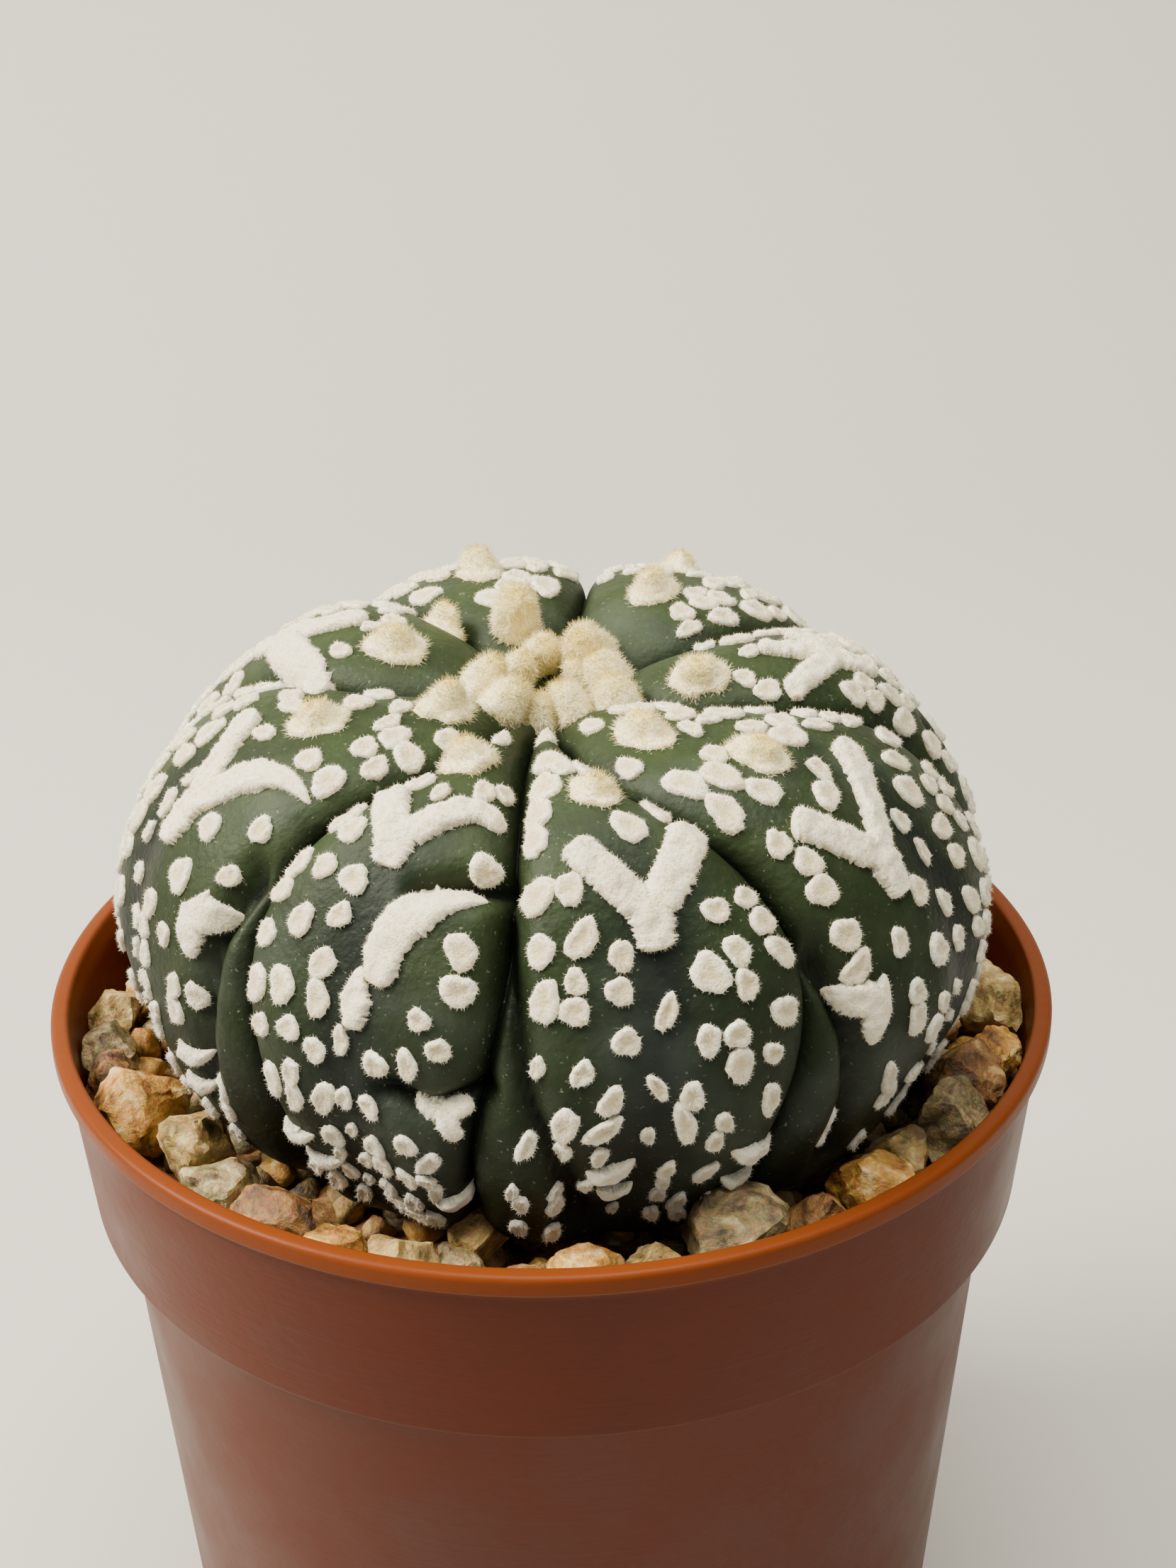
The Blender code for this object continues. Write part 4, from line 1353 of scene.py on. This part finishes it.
cloud_points = add(lay, "GeometryNodeMeshToPoints", links={0: given.outputs["Geometry"]})
laid = add(
    lay,
    "GeometryNodeInstanceOnPoints",
    {"Pick Instance": True},
    {
        "Points": cloud_points.outputs[0],
        "Instance": store.outputs[0],
        "Instance Index": kind.outputs[0],
        "Rotation": facing.outputs[0],
        "Scale": size.outputs[0],
    },
)
real = add(lay, "GeometryNodeRealizeInstances", links={0: laid.outputs[0]})
place = add(lay, "GeometryNodeInputPosition")
above = add(
    lay,
    "ShaderNodeVectorMath",
    links={0: out.outputs[0], 1: given.outputs["Drop"], 2: place.outputs[0]},
    operation="MULTIPLY_ADD",
)
inward = add(lay, "ShaderNodeVectorMath", {1: (-1, -1, -1)}, {0: out.outputs[0]}, operation="MULTIPLY")
skin_info = add(lay, "GeometryNodeObjectInfo", links={0: given.outputs["Skin"]})
touch = add(
    lay,
    "GeometryNodeRaycast",
    {"Ray Length": DRAPE_REACH},
    {
        "Target Geometry": skin_info.outputs["Geometry"],
        "Source Position": above.outputs[0],
        "Ray Direction": inward.outputs[0],
    },
)
rise = add(lay, "GeometryNodeInputNamedAttribute", {0: "rise"}, data_type="FLOAT")
lift = add(
    lay, "ShaderNodeMath", links={0: rise.outputs[0], 1: given.outputs["Thickness"]}, operation="MULTIPLY"
)
lifted = add(
    lay,
    "ShaderNodeVectorMath",
    links={0: out.outputs[0], 1: lift.outputs[0], 2: touch.outputs["Hit Position"]},
    operation="MULTIPLY_ADD",
)
draped = add(
    lay,
    "GeometryNodeSetPosition",
    links={0: real.outputs[0], "Selection": touch.outputs["Is Hit"], "Position": lifted.outputs[0]},
)
smooth = add(lay, "GeometryNodeSetShadeSmooth", {"Shade Smooth": True}, {0: draped.outputs[0]})
felted = add(
    lay,
    "GeometryNodeSetMaterial",
    links={0: smooth.outputs[0], "Material": given.outputs["Material"]},
)
add(lay, "NodeGroupOutput", links={0: felted.outputs[0]})
drape = {
    "Shapes": fleck_store,
    "Skin": body,
    "Thickness": FLECK_THICKNESS,
    "Drop": 3.0 * MM,
    "Material": white_felt,
}
for part, rows in enumerate(flecks):
    points, outs, downs, sizes, warmths, felt_shades, kinds = zip(*rows)
    seedbed = new_piece(f"white_flecks_{part + 1}", points, [], None, smooth=False)
    for name, values in (("out", outs), ("downhill", downs), ("size", sizes)):
        layer = seedbed.data.attributes.new(name, "FLOAT_VECTOR", "POINT")
        layer.data.foreach_set("vector", np.array(values, float).ravel())
    add_layer(seedbed, "warmth", warmths)
    add_layer(seedbed, "dusk", felt_shades)
    layer = seedbed.data.attributes.new("kind", "INT", "POINT")
    layer.data.foreach_set("value", kinds)
    grow(seedbed, lay, drape)
    face_outwards(seedbed)
    grow(seedbed, bristle, fuzz)
    fit(seedbed, "white_fleck")
for shape in list(fleck_store.objects):
    bpy.data.objects.remove(shape)
bpy.data.collections.remove(fleck_store)

# ---------------------------------------------------------------------------------------------
# The areole wool: cream tufts that grow out of the cushions along each rib, thickest round the
# growing point in the crown. Each is a soft lump bristling with fine short hairs.
# ---------------------------------------------------------------------------------------------
TUFT_RINGS = 13
TUFT_SECTORS = 26
KNOB_SHARE = 0.62
PLUME_SHARE = 0.92
PLUME_HEIGHT_MM = 3.0
SKIRT_HEIGHT = 0.30
HAIR_LENGTH = 0.60 * MM
HAIR_RADIUS = 0.020 * MM
HAIRS_PER_SQUARE_METRE = 3.4e7
TUFT_SINK = 0.5 * MM
FLUFF_SIZE = 1.111 * MM

# Plant wool: dull, very soft, straw in the depth of a tuft and pale cream at the tips.
areole_wool, tree, shader = new_material(
    "areole_wool", Roughness=1.0, Specular_IOR_Level=0.1, Sheen_Weight=0.3, Sheen_Roughness=0.5
)
place = add(tree, "ShaderNodeTexCoord").outputs["Object"]
warmth = add(tree, "ShaderNodeAttribute", attribute_name="warmth").outputs["Fac"]
fluff = add(
    tree,
    "ShaderNodeTexNoise",
    {"Scale": 1 / FLUFF_SIZE, "Detail": 4.0, "Roughness": 0.7},
    {"Vector": place},
)
wool_cream = add(
    tree,
    "ShaderNodeValToRGB",
    links={0: fluff.outputs["Fac"]},
    stops=((0.3, "#efdf9e"), (0.5, "#fcf0be"), (0.7, "#fff9dc")),
)
warmed = add(
    tree,
    "ShaderNodeMix",
    {7: linear("#d3bd66")},
    {0: warmth, 6: wool_cream.outputs[0]},
    data_type="RGBA",
)
bump = add(
    tree, "ShaderNodeBump", {"Strength": 1.0, "Distance": 0.0005}, {"Height": fluff.outputs["Fac"]}
)
tree.links.new(warmed.outputs[2], shader.inputs["Base Color"])
tree.links.new(bump.outputs[0], shader.inputs["Normal"])


def tuft_shape(number, bearing, down_mm, length_mm, width_mm, height_mm):
    """Vertices, faces and warmth of one lumpy tuft that sits on the skin."""
    here, out, downhill = (
        Vector(part[0]) for part in skin_frames(*spot([bearing], [down_mm]), 1.5 * MM)
    )
    side = out.cross(downhill)
    knob_share = PLUME_SHARE if height_mm >= PLUME_HEIGHT_MM else KNOB_SHARE
    shape_vertices = [here + out * height_mm * 0.98 * MM]
    warm = [1.0]
    for ring in range(1, TUFT_RINGS + 1):
        share = (ring / TUFT_RINGS) ** 1.25
        knob = max(0.0, 1 - (share / knob_share) ** 3.4) ** 0.5
        skirt = SKIRT_HEIGHT * (1 - share**4) if height_mm < PLUME_HEIGHT_MM else 0.0
        for k in range(TUFT_SECTORS):
            angle = math.tau * k / TUFT_SECTORS
            round_place = (math.cos(angle) * 2, math.sin(angle) * 2, number * 5.1 + ring * 0.3)
            lump = 1 + 0.22 * noise.noise(Vector(round_place))
            place = here + downhill * (math.cos(angle) * share * lump * length_mm / 2 * MM)
            place += side * (math.sin(angle) * share * lump * width_mm / 2 * MM)
            place += out * (max(knob, skirt) * height_mm * MM)
            place += out * noise.noise(place * 900.0) * 0.25 * MM
            if ring == TUFT_RINGS:
                place -= out * TUFT_SINK
            shape_vertices.append(place)
            warm.append(max(0.0, 1 - (share / knob_share) ** 2))
    shape_faces = []
    for k in range(TUFT_SECTORS):
        m = (k + 1) % TUFT_SECTORS
        shape_faces.append((0, 1 + k, 1 + m))
        for ring in range(TUFT_RINGS - 1):
            a, b = 1 + ring * TUFT_SECTORS, 1 + (ring + 1) * TUFT_SECTORS
            shape_faces.append((a + k, b + k, b + m, a + m))
    last = 1 + (TUFT_RINGS - 1) * TUFT_SECTORS
    shape_faces.append(tuple(last + k for k in reversed(range(TUFT_SECTORS))))
    return shape_vertices, shape_faces, warm


vertices, faces, tuft_warmth = [], [], []
for number, tuft in enumerate(TUFTS_MM):
    more_vertices, more_faces, more_warmth = tuft_shape(number, *tuft)
    faces += [tuple(len(vertices) + i for i in face) for face in more_faces]
    vertices += more_vertices
    tuft_warmth += more_warmth
tufts = new_piece("areole_tufts", vertices, faces, areole_wool)
face_outwards(tufts)
add_layer(tufts, "warmth", tuft_warmth)
add_layer(tufts, "fringe", [1.0] * len(vertices))

grow(
    tufts,
    bristle,
    {
        "Density": HAIRS_PER_SQUARE_METRE,
        "Length": HAIR_LENGTH,
        "Radius": HAIR_RADIUS,
        "Lean": 0.8,
        "Material": areole_wool,
    },
)
fit(tufts, "areole_wool")

# ---------------------------------------------------------------------------------------------
# The stones: washed quartz and flint grit of about 4 to 8 mm, laid loose round the plant up to the
# rim. Each is a worn, faceted pebble, and the colours run from yellow ochre to grey and rust brown.
# ---------------------------------------------------------------------------------------------
STONE_ROUNDS = 4
STONE_FLATS = 14
STONE_GROWTH = 1.24
STONE_EDGE = math.radians(24)
FLAT_LEVELS = (0.60, 0.86)
FLAT_SHARE = 0.92
STAIN_SIZE = 2.632 * MM
FROST_GRAIN = 0.6667 * MM
GRIT_BED_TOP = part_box("grit_bed")[1].z

# Quartz grit: hard glassy stone with an iron-stained, frosted skin that is worn off the edges.
# Each kind goes from its stain through its own colour to milky quartz.
QUARTZ_KINDS = {
    "quartz_ochre": ("#5a3510", "#9a6a22", "#b98a3c", "#d9bf88"),
    "quartz_tan": ("#57431e", "#8a7038", "#a88c52", "#cdb988"),
    "quartz_grey": ("#3b2e1a", "#6e5d38", "#8f7c52", "#c6b587"),
    "quartz_brown": ("#38220d", "#6a451b", "#8a6230", "#b8945c"),
}
quartz = {}
for kind_name, (stain, base, light_tone, milky) in QUARTZ_KINDS.items():
    quartz[kind_name], tree, shader = new_material(kind_name, Roughness=0.6, IOR=1.54)
    place = add(tree, "ShaderNodeTexCoord").outputs["Object"]
    broad = add(
        tree,
        "ShaderNodeTexNoise",
        {"Scale": 1 / STAIN_SIZE, "Detail": 6.0, "Roughness": 0.68, "Distortion": 0.6},
        {"Vector": place},
    )
    fine = add(
        tree,
        "ShaderNodeTexNoise",
        {"Scale": 1 / FROST_GRAIN, "Detail": 5.0, "Roughness": 0.7},
        {"Vector": place},
    )
    stained = add(
        tree,
        "ShaderNodeValToRGB",
        links={0: broad.outputs["Fac"]},
        stops=((0.36, stain), (0.46, base), (0.55, light_tone), (0.66, milky)),
    )
    frosted = add(
        tree,
        "ShaderNodeMix",
        {0: 0.8},
        {6: stained.outputs[0], 7: fine.outputs["Color"]},
        data_type="RGBA",
        blend_type="SOFT_LIGHT",
    )
    shine = add(
        tree,
        "ShaderNodeMapRange",
        {"From Min": 0.3, "From Max": 0.7, "To Min": 0.45, "To Max": 0.8},
        {"Value": broad.outputs["Fac"]},
    )
    bump = add(
        tree, "ShaderNodeBump", {"Strength": 0.8, "Distance": 0.0004}, {"Height": fine.outputs["Fac"]}
    )
    tree.links.new(frosted.outputs[2], shader.inputs["Base Color"])
    tree.links.new(shine.outputs[0], shader.inputs["Roughness"])
    tree.links.new(bump.outputs[0], shader.inputs["Normal"])


def pebble_mesh(shape, seed, rounds):
    """Turns an icosphere in a mesh into a worn, faceted pebble of about unit radius."""
    draw = random.Random(seed)
    bmesh.ops.create_icosphere(shape, subdivisions=rounds, radius=1.0)
    flats = []
    for _ in range(STONE_FLATS):
        towards = Vector([draw.gauss(0, 1) for _ in range(3)]).normalized()
        flats.append((towards, draw.uniform(*FLAT_LEVELS)))
    for vertex in shape.verts:
        at = vertex.co.copy()
        for towards, level in flats:
            over = at.dot(towards) - level
            if over > 0:
                at -= towards * over * FLAT_SHARE
        shift = Vector((seed * 1.7, 0, 0))
        rough = noise.noise(at * 2.3 + shift) * 0.10 + noise.noise(at * 6.0 + shift) * 0.05
        rough += noise.noise(at * 14.0 + shift) * 0.04 - abs(noise.noise(at * 3.5 - shift)) * 0.08
        vertex.co = at * (1 + rough)


def keep_inside_pot(point):
    """Holds a point of a stone just clear of the pot's wall."""
    limit = inner_radius(min(point.z, POT_HEIGHT)) - 0.15 * MM
    if point.z > POT_HEIGHT - LIP_DEPTH:
        limit = RIM_RADIUS - LIP_WIDTH - 0.1 * MM
    reach = math.hypot(point.x, point.y)
    if reach > limit:
        point.x *= limit / reach
        point.y *= limit / reach


stone_nodes = sorted(name for name in frame["nodes"] if name.startswith("stone_"))
slot_of = {part["node"]: part["material_slot"] for part in frame["record"]["subparts"]}
for index, node in enumerate(stone_nodes):
    low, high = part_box(node)
    shape = bmesh.new()
    pebble_mesh(shape, index + 11, STONE_ROUNDS)
    extent = [max(abs(v.co[axis]) for v in shape.verts) for axis in range(3)]
    for vertex in shape.verts:
        for axis in range(3):
            half = (high[axis] - low[axis]) / 2 * STONE_GROWTH
            vertex.co[axis] = (low[axis] + high[axis]) / 2 + vertex.co[axis] / extent[axis] * half
        keep_inside_pot(vertex.co)
    mesh = bpy.data.meshes.new("pebble_" + node[-2:])
    shape.to_mesh(mesh)
    shape.free()
    mesh.shade_smooth()
    mesh.set_sharp_from_angle(angle=STONE_EDGE)
    mesh.materials.append(quartz[slot_of[node]])
    pebble = bpy.data.objects.new("pebble_" + node[-2:], mesh)
    bpy.context.scene.collection.objects.link(pebble)
    fit(pebble, slot_of[node], node)

# ---------------------------------------------------------------------------------------------
# The small grit: chips of the same quartz, 2 to 4 mm across, that fall between the stones and
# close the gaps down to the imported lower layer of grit.
# ---------------------------------------------------------------------------------------------
CHIP_COUNT = 520
SMALLEST_CHIP = 1.1 * MM
LARGEST_CHIP = 2.2 * MM
CHIP_SHAPES = 8
CHIP_DEPTHS_MM = (-1.2, 0.8)
BED_INNER_RADIUS = 20 * MM
rng = random.Random(77)

chip_store = bpy.data.collections.new("chip_shapes")
for i in range(CHIP_SHAPES):
    shape = bmesh.new()
    pebble_mesh(shape, 300 + i, 2)
    mesh = bpy.data.meshes.new(f"chip_shape_{i}")
    shape.to_mesh(mesh)
    shape.free()
    mesh.shade_smooth()
    chip_store.objects.link(bpy.data.objects.new(f"chip_shape_{i}", mesh))

# Strews the stored chips on points, each with its own turn, size and kind.
strew = new_tree(
    "strew_chips",
    (
        ("Shapes", "NodeSocketCollection"),
        ("Smallest", "NodeSocketFloat"),
        ("Largest", "NodeSocketFloat"),
        ("Seed", "NodeSocketInt"),
        ("Material", "NodeSocketMaterial"),
    ),
)
given = add(strew, "NodeGroupInput")
store = add(strew, "GeometryNodeCollectionInfo", {"Separate Children": True}, {0: given.outputs["Shapes"]})
tumble = add(
    strew,
    "FunctionNodeRandomValue",
    {0: (0, 0, 0), 1: (math.tau, math.tau, math.tau)},
    {"Seed": given.outputs["Seed"]},
    data_type="FLOAT_VECTOR",
)
scale = add(
    strew,
    "FunctionNodeRandomValue",
    links={2: given.outputs["Smallest"], 3: given.outputs["Largest"], "Seed": given.outputs["Seed"]},
    data_type="FLOAT",
)
chip_points = add(strew, "GeometryNodeMeshToPoints", links={0: given.outputs["Geometry"]})
chips = add(
    strew,
    "GeometryNodeInstanceOnPoints",
    {"Pick Instance": True},
    {
        "Points": chip_points.outputs[0],
        "Instance": store.outputs[0],
        "Rotation": tumble.outputs[0],
        "Scale": scale.outputs[1],
    },
)
real = add(strew, "GeometryNodeRealizeInstances", links={0: chips.outputs[0]})
stony = add(
    strew, "GeometryNodeSetMaterial", links={0: real.outputs[0], "Material": given.outputs["Material"]}
)
add(strew, "NodeGroupOutput", links={0: stony.outputs[0]})

bed_edge = inner_radius(GRIT_BED_TOP) - LARGEST_CHIP
for slot in QUARTZ_KINDS:
    places = []
    while len(places) < CHIP_COUNT // len(QUARTZ_KINDS):
        reach = math.sqrt(rng.uniform(BED_INNER_RADIUS**2, bed_edge**2))
        angle = rng.uniform(0, math.tau)
        height = GRIT_BED_TOP + rng.uniform(*CHIP_DEPTHS_MM) * MM
        places.append((reach * math.cos(angle), reach * math.sin(angle), height))
    grit = new_piece(slot.replace("quartz", "small_grit"), places, [], None, smooth=False)
    values = {
        "Shapes": chip_store,
        "Smallest": SMALLEST_CHIP,
        "Largest": LARGEST_CHIP,
        "Seed": rng.randrange(1000),
        "Material": quartz[slot],
    }
    grow(grit, strew, values)
    fit(grit, slot)
for shape in list(chip_store.objects):
    bpy.data.objects.remove(shape)
bpy.data.collections.remove(chip_store)
frame["nodes"]["grit_bed"].data.materials.clear()
frame["nodes"]["grit_bed"].data.materials.append(quartz["quartz_brown"])

# ---------------------------------------------------------------------------------------------
# The sizes of the CAD model and of the finished one, side by side.
# ---------------------------------------------------------------------------------------------
sizes = {
    "cad": [[float(c) for c in corner] for corner in cad_box],
    "visual": [[float(c) for c in corner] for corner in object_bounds()],
}
